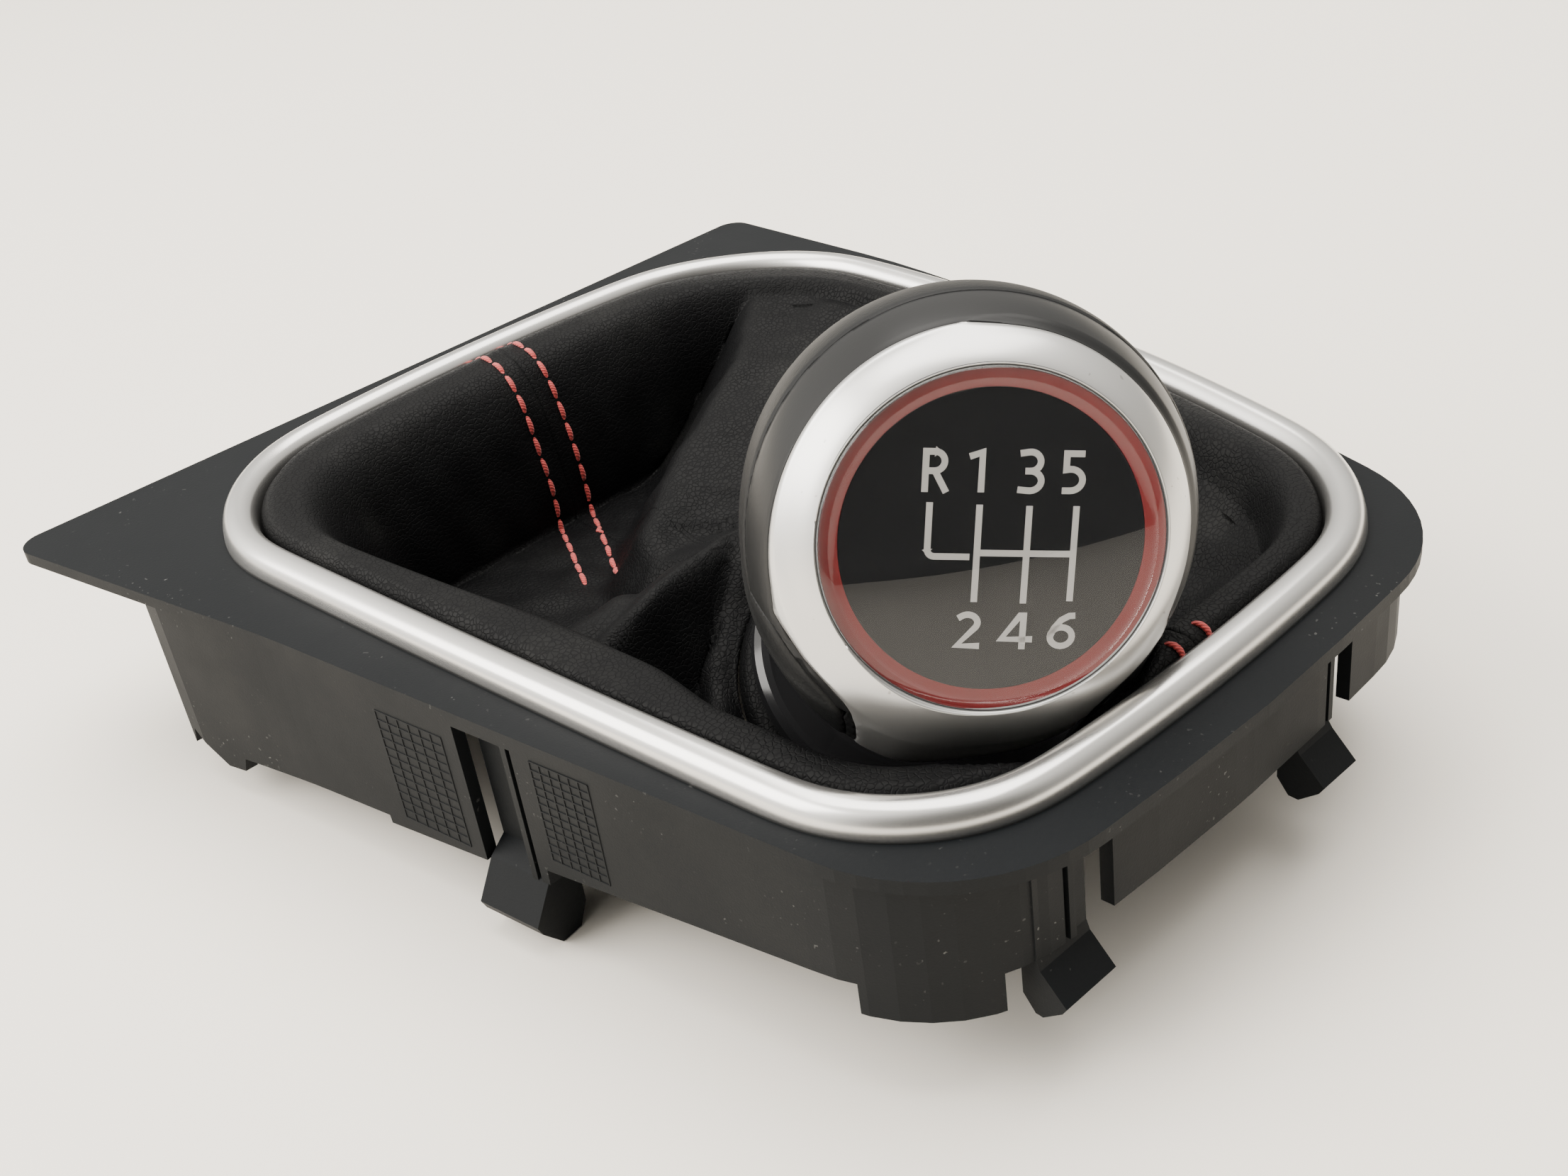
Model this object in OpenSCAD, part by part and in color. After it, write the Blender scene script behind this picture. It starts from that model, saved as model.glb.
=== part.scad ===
/* [Console plate] */
// Width of the plate's straight edge
plate_w = 156; // [150:0.5:164]
// Length of the plate from the straight edge to the rounded end
plate_l = 177.7; // [174:0.1:184]
// Thickness of the plate
plate_t = 2; // [1.6:0.1:3]
// Fillet radius of the plate's two sharp ears
ear_r = 4; // [2:0.5:7]
// Corner radius at the plate's rounded end
plate_end_r = 26; // [22:0.5:30]

/* [Skirt] */
// Wall thickness of the skirt below the plate
skirt_t = 2; // [1.6:0.1:2.6]
// Depth of the skirt midway along its sides
skirt_h = 22; // [18:0.5:24]
// Fall of the skirt's side edge per millimetre towards the straight end
skirt_fall = 0.09; // [0.06:0.01:0.1]
// Inset of the skirt at the rounded end, where the plate forms a lip
end_lip = 3; // [2:0.5:3.5]

/* [Snap hooks] */
// Width of a snap hook
hook_w = 11; // [9:0.5:13]
// Drop of the side and rear hooks below the plate
hook_drop = 33.5; // [32:0.5:36]
// Drop of the hooks at the rounded end
end_drop = 23; // [22:0.5:26]
// Reach of a hook's nose outside the wall
hook_nose = 3.5; // [2:0.5:4.5]
// Thickness of a hook's arm
hook_t = 2.4; // [2:0.1:3]
// Width of the slot in the wall before a hook's arm
slot_w = 6.5; // [4:0.5:8]

/* [Trim ring] */
// Width of the trim ring's base
ring_w = 5.6; // [5:0.1:6.5]
// Height of the trim ring's crest over the plate
ring_h = 4; // [3:0.1:5]
// Depth of the ring's inner lip below the plate's top
lip_h = 4; // [3:0.1:4.6]
// Thickness of the ring's inner lip
lip_t = 1; // [0.8:0.1:1.2]
// Clearance between the lip and the plate's opening
lip_gap = 0.2; // [0.1:0.05:0.3]

/* [Gaiter] */
// Thickness of the leather
leather_t = 1.2; // [0.8:0.1:1.5]
// Width of the retaining frame that holds the leather's edge
holder_w = 6.2; // [6:0.1:8]
// Thickness of the retaining frame
holder_t = 2.4; // [2:0.1:3]
// Depth of the slack pocket in the leather
pocket = 20; // [16:0.5:22]
// Height of the rounded roll along the leather's edge
roll_h = 2.2; // [1:0.1:3]

/* [Knob] */
// Diameter of the knob's ball
ball_d = 55.2; // [53:0.1:56]
// Angle between the dial's normal and the neck
dial_tilt = 45; // [38:1:50]
// Distance from the ball's centre to the dial's front rim
dial_h = 17; // [16:0.1:18]
// Thickness of the knob's outer shell
shell_t = 2.5; // [2:0.1:3]
// Radius of the neck's outside
neck_r = 14.5; // [13.5:0.1:15.5]
// Distance from the ball's centre to the pivot in the collar
neck_l = 41; // [40:0.5:44]
// Depth of the silver bezel's edge behind the dial's rim
bezel_h = 7.7; // [6.5:0.1:9]
// Width of the silver bezel round the lens
bezel_w = 5.2; // [4.6:0.1:5.6]
// Width of the smooth band behind the bezel
band_w = 4.6; // [3:0.1:5.5]
// Width of the silver chin that runs down the neck
chin_w = 27; // [24:0.5:29]

/* [Dial] */
// Diameter of the clear lens
lens_d = 39.8; // [38:0.1:40.6]
// Rise of the lens over its rim
lens_rise = 1.6; // [0.8:0.1:2.4]
// Radius of the black dial disc
disc_r = 17.4; // [16:0.1:18]
// Thickness of the dial disc and the red ring
disc_t = 1.4; // [1:0.1:1.8]
// Wall of the carrier cup round the lens
carrier_t = 0.4; // [0.3:0.05:0.5]

/* [Lever socket] */
// Diameter of the bore for the gear lever
bore_d = 12; // [10:0.1:13]
// Depth of the bore for the gear lever
bore_l = 38; // [30:0.5:40]
// Wall of the metal insert
insert_t = 2.2; // [1.6:0.1:2.6]

/* [Collar] */
// Outer radius of the gaiter collar
collar_r = 24; // [22:0.5:24.5]
// Radius of the neck's round foot, about which it swivels in the collar
foot_r = 15.5; // [15:0.1:16.5]
// Running gap between the foot and the collar
foot_gap = 0.4; // [0.3:0.05:0.6]
// Height of the collar
collar_h = 11.5; // [11:0.5:13]
// Width of the clamp band round the gaiter's end
clamp_w = 3; // [2.6:0.1:3.4]
// Thickness of the clamp band
clamp_t = 0.8; // [0.6:0.1:1]

/* [Rest pose] */
// Sideways place of the trim ring's axis on the plate
ring_x = 5; // [3:0.5:7]
// Sideways place of the neck's pivot
pivot_x = -0.3; // [-2:0.1:2]
// Distance of the neck's pivot from the plate's rounded end
pivot_end = 53.2; // [52:0.1:56]
// Height of the neck's pivot
pivot_z = -12.6; // [-13:0.1:-11]
// Lean of the neck from upright as it lies in the gaiter
lean = 29.6; // [27:0.1:32]
// Direction of that lean, measured from straight back towards the left
lean_dir = 21.4; // [18:0.1:24]

/* [Hidden] */

// Corners of the plate: x, y, fillet radius. The straight edge is at +Y and the rounded end at -Y.
half_w = plate_w / 2;
back_y = 89;
end_y = back_y - plate_l;
pivot_y = end_y + pivot_end;
bezel_r = lens_d / 2 + bezel_w;
side_y = end_y + 78.7;
plate_pts = [
    [-half_w - 0.6, back_y, ear_r],
    [-half_w + 12.5, 30, 200],
    [-half_w + 32.5, end_y + 1.6, plate_end_r],
    [5, end_y - 0.9, 300],
    [half_w - 23, end_y + 2.2, plate_end_r],
    [half_w - 2.5, side_y, 90],
    [half_w + 1.6, 44, 160],
    [half_w + 0.4, back_y, ear_r]
];
skirt_pts = [
    [-half_w + 6.8, 57, 4],
    [-half_w + 12.6, 30, 200],
    [-half_w + 32.2, end_y + 1.6 + end_lip, plate_end_r - end_lip],
    [5, end_y - 0.9 + end_lip, 300],
    [half_w - 24, end_y + 2.2 + end_lip, plate_end_r - end_lip],
    [half_w - 2.9, side_y, 90],
    [half_w + 1.2, 44, 160],
    [half_w + 0.8, 57, 6],
    [half_w - 8, back_y - 4, 10],
    [-half_w + 18, back_y - 4, 10]
];
// Trim ring's outer base line: a tapered four-sided outline whose sides bow outwards
ring_back = back_y - 14;
ring_l = plate_l - 23.4;
ring_hb = half_w - 12.3;
ring_he = half_w - 28.2;
ring_pts = [
    [ring_x - ring_hb, ring_back, 27],
    [ring_x - ring_he, ring_back - ring_l, 23.3],
    [ring_x + ring_he, ring_back - ring_l, 23.3],
    [ring_x + ring_hb, ring_back, 27]
];
bow_back = 6.6;
bow_end = 3.6;
bow_left = 0.8;
bow_right = 9.4;
function bowed(p) =
    let (f = max(0, min(1, (ring_back - p[1]) / ring_l)))
    let (side = max(-1, min(1, (p[0] - ring_x) / (ring_hb + (ring_he - ring_hb) * f))))
    [p[0] + (side > 0 ? bow_right : bow_left) * 4 * f * (1 - f) * side,
     p[1] + (1 - side * side) * (bow_back * (1 - f) * (1 - f) - bow_end * f * f)];

function mix(a, b, f) = a * (1 - f) + b * f;
// Unit vector and rounding of a polygon's corners
function unit(v) = v / norm(v);
function arc(p, c, q, r) =
    let (d1 = unit(p - c), d2 = unit(q - c), w = acos(max(-1, min(1, d1 * d2))))
    let (t = r / tan(w / 2), m = c + unit(d1 + d2) * r / sin(w / 2))
    let (a = c + d1 * t - m, b = c + d2 * t - m)
    let (sa = atan2(a[1], a[0]), sb = atan2(b[1], b[0]))
    let (turn = ((sb - sa + 540) % 360) - 180, n = max(2, ceil(abs(turn) / 6)))
    [for (i = [0 : n]) m + r * [cos(sa + turn * i / n), sin(sa + turn * i / n)]];
function xy(p) = [p[0], p[1]];
function rounded(cs) = let (n = len(cs))
    [for (i = [0 : n - 1]) each arc(xy(cs[(i + n - 1) % n]), xy(cs[i]), xy(cs[(i + 1) % n]), cs[i][2])];
// Even resampling of a closed outline
function sums(v, i = 0, s = 0) = i >= len(v) ? [s] : concat([s], sums(v, i + 1, s + v[i]));
function even(pts, n) =
    let (m = len(pts), seg = [for (i = [0 : m - 1]) norm(pts[(i + 1) % m] - pts[i])])
    let (at = sums(seg), all = at[m])
    [for (k = [0 : n - 1])
        let (s = all * k / n, j = max([for (i = [0 : m - 1]) at[i] <= s ? i : 0]))
        let (f = seg[j] > 0 ? (s - at[j]) / seg[j] : 0)
        pts[j] * (1 - f) + pts[(j + 1) % m] * f];
// Inward normals, for an outline that runs with its inside on the left
function inward(pts) = let (n = len(pts))
    [for (i = [0 : n - 1]) let (t = unit(pts[(i + 1) % n] - pts[(i + n - 1) % n])) [-t[1], t[0]]];
function inset(pts, d) = let (m = inward(pts)) [for (i = [0 : len(pts) - 1]) pts[i] + m[i] * d];

plate_line = rounded(plate_pts);
skirt_line = even(rounded(skirt_pts), 150);
ring_n = 96;
ring_line = even([for (p = even(rounded(ring_pts), 200)) bowed(p)], ring_n);
hole_in = ring_w - lip_t - lip_gap;

// Closed tube of rings of points: each ring has the same count
module sweep_closed(rings) {
    n = len(rings);
    m = len(rings[0]);
    polyhedron(
        points = [for (r = rings) each r],
        faces = [for (i = [0 : n - 1]) for (j = [0 : m - 1])
            let (a = i * m + j, b = i * m + (j + 1) % m)
            let (c = ((i + 1) % n) * m + (j + 1) % m, d = ((i + 1) % n) * m + j)
            each [[a, c, b], [a, d, c]]],
        convexity = 8);
}

// Section of the trim ring: distance in from its outer base line, and height over the plate
ring_section = [
    [0, 0],
    [ring_w * 0.03, ring_h * 0.36],
    [ring_w * 0.14, ring_h * 0.72],
    [ring_w * 0.34, ring_h * 0.96],
    [ring_w * 0.56, ring_h],
    [ring_w * 0.78, ring_h * 0.88],
    [ring_w * 0.95, ring_h * 0.62],
    [ring_w, ring_h * 0.3],
    [ring_w, -lip_h],
    [ring_w - lip_t, -lip_h],
    [ring_w - lip_t, 0]
];

module trim_ring() {
    color("silver")
    let (m = inward(ring_line))
    sweep_closed([for (s = ring_section)
        [for (i = [0 : ring_n - 1])
            let (p = ring_line[i] + m[i] * s[0]) [p[0], p[1], plate_t + s[1]]]]);
}

// Side edge of the skirt: height of its lower edge at a lengthways place
function skirt_low(y) = -skirt_h - skirt_fall * y;
side_slope = atan(0.17);
hook_y = end_y + 74.7;
hook_x = mix(skirt_pts[1][0], skirt_pts[2][0], (skirt_pts[1][1] - hook_y) / (skirt_pts[1][1] - skirt_pts[2][1]));

// Snap hook: an arm behind the wall that hangs from the plate, a nose under the wall and two side webs, facing -X
module snap_hook(drop, w, back, web) {
    rotate([90, 0, 0])
    translate([0, 0, -w / 2])
    linear_extrude(height = w)
    polygon([[back, 0.01], [back, -drop * 0.62], [0.2, -drop * 0.68], [-hook_nose, -drop * 0.84],
             [-hook_nose * 0.8, -drop * 0.89], [0.2, -drop], [back + hook_t - 1.8, -drop],
             [back + hook_t, -drop * 0.9], [back + hook_t, 0.01]]);
    for (side = [-1, 1])
        rotate([90, 0, 0])
        translate([0, 0, side * (w / 2 - 1.4) - 0.6])
        linear_extrude(height = 1.2)
        polygon([[back + hook_t - 0.01, 0.01], [back + hook_t - 0.01, -drop * 0.7],
                 [back + hook_t + web, -drop * 0.3], [back + hook_t + web, 0.01]]);
}

// Outline of the skirt's lower side edge, seen from the side, as a cutter below the wall
module below_edge() {
    translate([-120, 0, 0])
    rotate([90, 0, 90])
    linear_extrude(height = 240)
    polygon([[-110, skirt_low(-110)], [-20, skirt_low(-20)], [-19.9, skirt_low(-20) - 2.6],
             [12, skirt_low(12) - 2.2], [12.1, skirt_low(12) - 0.8], [45, skirt_low(45) + 0.2],
             [46, skirt_low(46) - 2.4], [50, skirt_low(50) - 2.4], [57, skirt_low(57) + 3],
             [58, skirt_low(58)], [110, skirt_low(58)], [110, -70], [-110, -70]]);
}

// Wall band of the skirt between two heights
module skirt_band(z0, z1) {
    translate([0, 0, z0])
    linear_extrude(height = z1 - z0)
    difference() {
        polygon(skirt_line);
        polygon(inset(skirt_line, skirt_t));
    }
}

// Places of the snap hooks: x, y, turn, drop, the start and width of the slot in the wall, the hook's width,
// the arm's distance behind the wall's face and the depth of its webs
far_arm = skirt_t + 1.2;
near_arm = 0.7;
hooks = [
    [hook_x, hook_y, side_slope, hook_drop, -2.7, slot_w + 2.5, hook_w, far_arm, 1.2],
    [half_w - 4.8, hook_y, 180 - 10, hook_drop, -2.7, slot_w + 2.5, hook_w, near_arm, 0.4],
    [ring_x - 33.5, end_y + 3.8, 90, end_drop, -8.3, slot_w, hook_w - 2, near_arm, 0.4],
    [ring_x + 16.5, end_y + 2.9, 90, end_drop, -8.5, slot_w - 2, hook_w - 3.5, near_arm + 0.4, 0.4],
    [ring_x - 36, back_y - 4.1, -90, hook_drop, -2.7, slot_w + 2.5, hook_w, far_arm, 0.9],
    [ring_x + 36, back_y - 4.1, -90, hook_drop, -2.7, slot_w + 2.5, hook_w, far_arm, 0.9]
];

module console_frame() {
    color([0.27, 0.28, 0.29]) {
        difference() {
            union() {
                linear_extrude(height = plate_t)
                difference() {
                    polygon(plate_line);
                    polygon(inset(ring_line, hole_in));
                }
                difference() {
                    skirt_band(-34, 0.01);
                    below_edge();
                    // lower edge of the rounded end, with its tooth
                    translate([0, end_y + 10, 0])
                    rotate([90, 0, 0])
                    linear_extrude(height = 20)
                    polygon([[-33, -17], [-3.6, -18.2], [-1.7, -17.1], [0, -20.2], [7.7, -20.3], [8.7, -18],
                             [40, -18], [40, -60], [-33, -60]]);
                }
                // foot under the rounded front corner
                intersection() {
                    skirt_band(-20.5, -14);
                    translate([-half_w + 34.5, end_y + 11.2, -17.5])
                    rotate([0, 0, -45])
                    cube([17, 14, 8], center = true);
                }
                // rib round the opening that the retaining frame clips into
                translate([0, 0, -7])
                linear_extrude(height = 7.01)
                difference() {
                    polygon(inset(ring_line, 0.6));
                    polygon(inset(ring_line, 2.2));
                }
            }
            // slots beside the hooks
            for (h = hooks)
                translate([h[0], h[1], 0])
                rotate([0, 0, h[2]]) {
                    translate([-3, h[4], -40])
                    cube([6, h[5], 39.4]);
                    translate([-3, h[4] < -5 ? h[4] + h[5] + 1 : h[4] - 1.8, -40])
                    cube([6, 0.8, 39.4]);
                }
        }
        for (h = hooks)
            translate([h[0], h[1], 0])
            rotate([0, 0, h[2]])
            snap_hook(h[3], h[6], h[7], h[8]);
        // ribs that stiffen the plate behind the straight edge
        for (k = [-4 : 4])
            translate([k * 14 - 0.7, 84, -4])
            cube([1.4, back_y - 86, 4.01]);
    }
}

// Top of the retaining frame lies against the ring's lip
holder_z = plate_t - lip_h;
holder_out = 2.3;

module gaiter_frame() {
    color([0.12, 0.12, 0.13]) {
        translate([0, 0, holder_z - holder_t])
        linear_extrude(height = holder_t)
        difference() {
            polygon(inset(ring_line, holder_out));
            polygon(inset(ring_line, holder_out + holder_w));
        }
        // clips that hold the frame under the rib
        for (k = [6 : 12 : ring_n - 1])
            let (m = inward(ring_line), p = ring_line[k] + m[k] * (holder_out + 2))
            translate([p[0], p[1], holder_z - holder_t - 3])
            rotate([0, 0, atan2(m[k][1], m[k][0])])
            translate([-0.9, -4, 0])
            cube([1.8, 8, 3.01]);
    }
}

// The neck's axis at rest, and the two directions square to it
lean_x = -sin(lean_dir) * sin(lean);
lean_y = -cos(lean_dir) * sin(lean);
axis = [lean_x, lean_y, cos(lean)];
pivot = [pivot_x, pivot_y, pivot_z];
ball_r = ball_d / 2;
ball_at = pivot + axis * neck_l;

// Places a child drawn round the pivot, with +Z up the neck, where the knob lies
module at_rest() {
    translate(pivot)
    rotate([0, 0, -lean_dir])
    rotate([lean, 0, 0])
    rotate([0, 0, knob_spin])
    children();
}
// Spin of the knob about its neck against the direction of the lean
knob_spin = -20.8;

// Places a child drawn on the dial, with +Z out of the dial and +Y up its face
module on_dial() {
    translate([0, 0, neck_l])
    rotate([dial_tilt, 0, 0])
    translate([0, 0, dial_h])
    children();
}

// Outline of the knob's ball and neck about the neck's axis: radius and height from the ball's centre
// The ball runs into a cone that touches it at this angle below its middle, and the cone into the neck
cone_a = 22;
cone_end = 31;
function head_profile(g) =
    let (r = ball_r - g, n = neck_r - g)
    concat(
        [[0, r]],
        [for (i = [1 : 24]) let (a = 90 - (90 + cone_a) * i / 24) r * [cos(a), sin(a)]],
        [for (i = [1 : 5]) let (f = i / 5, r0 = r * cos(cone_a), t0 = r * sin(cone_a))
            [r0 + (n - r0) * (f + 0.35 * f * (1 - f)), -t0 - (cone_end - t0) * f]],
        [[n, -neck_l + foot_r * 0.3], [0, -neck_l + foot_r * 0.3]]);

// The second, lower ball that fills the head out behind the chin: its place on the dial and its radius
chin_at = [0, -5.8, -14];
chin_r = ball_r - 2.9;
module head(g, top = 20) {
    translate([0, 0, neck_l])
    rotate_extrude($fn = 72)
    polygon(head_profile(g));
    intersection() {
        on_dial()
        translate(chin_at)
        rotate([-dial_tilt, 0, 0])
        sphere(r = chin_r - g, $fn = 72);
        on_dial()
        translate([-50, -60, top - 100])
        cube([100, 100, 100]);
    }
}
// Height on the dial of the chin's inner face
chin_top = -bezel_h - 2.3;

// Side view of the silver trim's zone, in the dial's own Y and Z
chin_y = -11;
module trim_zone(back) {
    on_dial()
    rotate([90, 0, 90])
    translate([0, 0, -40])
    linear_extrude(height = 80)
    polygon([[40, -back], [chin_y, -back],
             [chin_y - 45 * sin(dial_tilt - 3), -back - 45 * cos(dial_tilt - 3)], [-70, -back - 40],
             [-70, 20], [40, 20]]);
}
// Plan of the silver trim on the dial: a disc that runs out into the chin
module trim_plan(g) {
    on_dial()
    translate([0, 0, -60])
    linear_extrude(height = 80)
    union() {
        circle(r = bezel_r + g, $fn = 96);
        polygon([[-bezel_r - g, 0], [-chin_w / 2 - 3 - g, -21], [-chin_w / 2 - 0.3 - g, -25],
                 [-chin_w / 2 - g, -29], [-chin_w / 2 - g, -60],
                 [chin_w / 2 + g, -60], [chin_w / 2 + g, -29], [chin_w / 2 + 0.3 + g, -25],
                 [chin_w / 2 + 3 + g, -21], [bezel_r + g, 0]]);
    }
}
seat_r = lens_d / 2 + 0.05 + carrier_t;
fit_gap = 0.1;

module bezel() {
    color("silver")
    at_rest()
    difference() {
        union() {
            // domed ring round the lens
            on_dial()
            rotate_extrude($fn = 96)
            polygon([[seat_r + fit_gap, -0.5], [seat_r + 0.5, 0], [mix(seat_r, bezel_r, 0.3), -0.25],
                     [mix(seat_r, bezel_r, 0.57), -1.5], [mix(seat_r, bezel_r, 0.8), -3.4], [bezel_r - 0.3, -5.6],
                     [bezel_r, -bezel_h], [seat_r + fit_gap, -bezel_h]]);
            // chin on the ball and the neck
            intersection() {
                head(0);
                trim_zone(bezel_h - 0.02);
                trim_plan(0);
                on_dial()
                translate([-40, -80, -90])
                cube([80, 80, 90 - 0.8]);
            }
        }
        head(shell_t, chin_top);
        foot_room();
        // clearance for the dial carrier
        on_dial()
        translate([0, 0, -6])
        cylinder(r = seat_r + fit_gap, h = 12, $fn = 96);
        // the chin stays below the domed ring's face
        on_dial()
        rotate_extrude($fn = 96)
        polygon([[0, 0.1], [bezel_r - 1.4, -3.4], [bezel_r + 0.2, -5.8], [bezel_r + 3, -8.2], [bezel_r + 12, -10],
                 [bezel_r + 12, 20], [0, 20]]);
    }
}

// Room for the round foot, on which the neck's sheaths end
module foot_room() {
    sphere(r = foot_r + fit_gap, $fn = 96);
}

module side_band() {
    color([0.05, 0.05, 0.055])
    at_rest()
    intersection() {
        difference() {
            head(0.25);
            head(shell_t);
            trim_zone(bezel_h + fit_gap);
            foot_room();
        }
        trim_zone(bezel_h + band_w);
        translate([-60, -60, neck_l - 34])
        cube([120, 120, 120]);
    }
}

module rear_shell() {
    color([0.09, 0.09, 0.09])
    at_rest()
    difference() {
        head(0);
        head(shell_t);
        trim_zone(bezel_h + band_w + fit_gap);
        foot_room();
    }
}

module knob_core() {
    color([0.1, 0.1, 0.11])
    at_rest()
    difference() {
        union() {
            head(shell_t + fit_gap, chin_top - fit_gap);
            sphere(r = foot_r, $fn = 96);
        }
        // room for the dial carrier and its bezel
        on_dial()
        translate([0, 0, -4.4])
        cylinder(r = 60, h = 60, $fn = 96);
        on_dial()
        translate([0, 0, -4.5])
        cylinder(r = bezel_r + 8, h = 60, $fn = 96);
        // socket for the insert
        translate([0, 0, -40])
        cylinder(r = insert_or + 0.03, h = 40 + insert_top, $fn = 96);
        // flat foot
        translate([-40, -40, -40 - foot_r * 0.75])
        cube([80, 80, 40]);
    }
}

insert_or = bore_d / 2 + insert_t;
insert_low = -foot_r * 0.75;
insert_top = insert_low + bore_l + 3;

module lever_insert() {
    color([0.6, 0.6, 0.62])
    at_rest()
    difference() {
        translate([0, 0, insert_low])
        cylinder(r = insert_or, h = bore_l + 3, $fn = 96);
        translate([0, 0, insert_low - 1])
        cylinder(r = bore_d / 2, h = bore_l + 1, $fn = 96);
    }
}

// Sleeve under the collar's cup that takes the leather's end
sleeve_or = collar_r - 5;
sleeve_low = 6 - collar_h;
module gaiter_collar() {
    color([0.03, 0.03, 0.03])
    at_rest()
    difference() {
        rotate_extrude($fn = 96)
        polygon([[10, sleeve_low], [sleeve_or, sleeve_low], [sleeve_or, -0.4], [collar_r - 1.5, 0.9],
                 [collar_r - 0.3, 2.4], [collar_r, 4], [collar_r - 0.3, 5.4], [collar_r - 1.2, 6.2],
                 [collar_r - 2.2, 6.1], [collar_r - 5, 4.8], [foot_r + 0.2, 3.4], [10, 3.4]]);
        sphere(r = foot_r + foot_gap, $fn = 96);
        translate([0, 0, -20])
        cylinder(r = 12.6, h = 40, $fn = 96);
    }
}

// Clamp band round the leather's end on the collar's sleeve, with its pinched ear
band_r = sleeve_or + leather_t + 0.9;
clamp_top = 2.1;
module gaiter_clamp() {
    color([0.55, 0.56, 0.57])
    at_rest() {
        difference() {
            translate([0, 0, -clamp_top - clamp_w])
            cylinder(r = band_r + clamp_t, h = clamp_w, $fn = 96);
            translate([0, 0, -collar_h])
            cylinder(r = band_r, h = 2 * collar_h, $fn = 96);
        }
        translate([0, band_r + clamp_t - 0.2, -clamp_top - clamp_w])
        difference() {
            translate([-3, 0, 0])
            cube([6, 1.3, clamp_w]);
            translate([-2.4, -1, -1])
            cube([4.8, 1.7, clamp_w + 2]);
        }
    }
}

module dial_carrier() {
    color([0.04, 0.04, 0.04])
    at_rest()
    on_dial()
    difference() {
        translate([0, 0, -4.3])
        cylinder(r = seat_r, h = 4.3 - 0.5, $fn = 96);
        translate([0, 0, -1.5 - disc_t])
        cylinder(r = lens_d / 2 + 0.05, h = 10, $fn = 96);
    }
}

module dial_disc() {
    color([0.02, 0.02, 0.02])
    at_rest()
    on_dial()
    translate([0, 0, -1.5 - disc_t])
    cylinder(r = disc_r, h = disc_t, $fn = 96);
}

module red_ring() {
    color([0.75, 0.12, 0.1])
    at_rest()
    on_dial()
    translate([0, 0, -1.5 - disc_t])
    difference() {
        cylinder(r = lens_d / 2, h = disc_t, $fn = 96);
        translate([0, 0, -1])
        cylinder(r = disc_r + 0.05, h = disc_t + 2, $fn = 96);
    }
}

// Radius of the lens's dome from its width and rise
dome_r = (lens_d * lens_d / 4 + lens_rise * lens_rise) / (2 * lens_rise);
module lens() {
    color([0.8, 0.85, 0.9, 0.3])
    at_rest()
    on_dial()
    intersection() {
        translate([0, 0, -1.5])
        cylinder(r = lens_d / 2, h = 1.4 + lens_rise, $fn = 96);
        translate([0, 0, lens_rise - 0.1 - dome_r])
        sphere(r = dome_r, $fn = 180);
    }
}

// Leather: rings of points from the retaining frame over the rim, down its walls and up to the collar,
// where it turns over the clamp band and ends under it
rim_in = ring_w + 0.4 + leather_t / 2;
leather_n = 84;
leather_rim = even(inset(ring_line, rim_in), leather_n);
leather_dir = inward(leather_rim);
function flat_out(d) = unit([d[0], d[1], 0] - axis * ([d[0], d[1], 0] * axis));
// Keeps the leather clear of a ball of radius r
function clear_of(p, c, r) = let (v = p - c, d = norm(v)) d < r ? c + v * (r / d) : p;
clear_gap = leather_t / 2 + 1;
// A vector given on the dial, turned as the knob lies
function turn_x(v, a) = [v[0], v[1] * cos(a) - v[2] * sin(a), v[1] * sin(a) + v[2] * cos(a)];
function turn_z(v, a) = [v[0] * cos(a) - v[1] * sin(a), v[0] * sin(a) + v[1] * cos(a), v[2]];
function from_dial(v) = turn_z(turn_x(turn_z(turn_x(v, dial_tilt), knob_spin), lean), -lean_dir);
chin_ball_at = ball_at + from_dial(chin_at + [0, 0, dial_h]);
// Keeps the leather under a ball of radius r that hangs over it
function under(p, c, r) =
    let (q = r * r - pow(p[0] - c[0], 2) - pow(p[1] - c[1], 2))
    q > 0 ? [p[0], p[1], min(p[2], c[2] - sqrt(q))] : p;
function below_head(p) = under(under(p, ball_at, ball_r + clear_gap), chin_ball_at, chin_r + clear_gap - 0.4);
// Keeps the leather over the retaining frame
function on_holder(p) = [p[0], p[1], max(p[2], holder_z + leather_t / 2 + 0.5)];
function clear_all(p) =
    clear_of(clear_of(clear_of(below_head(p),
        pivot + axis * 21, neck_r + 4 + clear_gap), pivot + axis * 12, neck_r + 2 + clear_gap),
        pivot + axis * 2.4, collar_r + clear_gap);
function clip(v, a, b) = max(a, min(b, v));
function smooth(f) = let (g = clip(f, 0, 1)) g * g * (3 - 2 * g);
function soft_max(a, b, k) = let (h = max(k - abs(a - b), 0) / k) max(a, b) + h * h * k / 4;

// The leather's end on the collar: radius and height about the neck's axis, from the last row back
leather_turn = [
    [sleeve_or + 0.35 + leather_t / 2, -clamp_top - 2.6],
    [sleeve_or + 0.35 + leather_t / 2, -clamp_top - 0.9],
    [sleeve_or + 1.4, -1.5],
    [sleeve_or + 2.7, -0.95],
    [collar_r - 0.8, -1],
    [collar_r + 0.3, -2.1]
];

// Weight of a sector of directions about the pivot, with soft sides
function sector(a, from, to, soft) =
    let (m = (from + to) / 2, h = (to - from) / 2, d = abs(((a - m + 540) % 360) - 180))
    1 - smooth((d - h + soft / 2) / soft);
// Directions about the pivot: 0 at the right side, 90 at the straight edge, 180 at the left side
function in_pocket(a) = sector(a, 66, 150, 24);
function in_hollow(a) = sector(a, 150, 238, 24);
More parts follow.
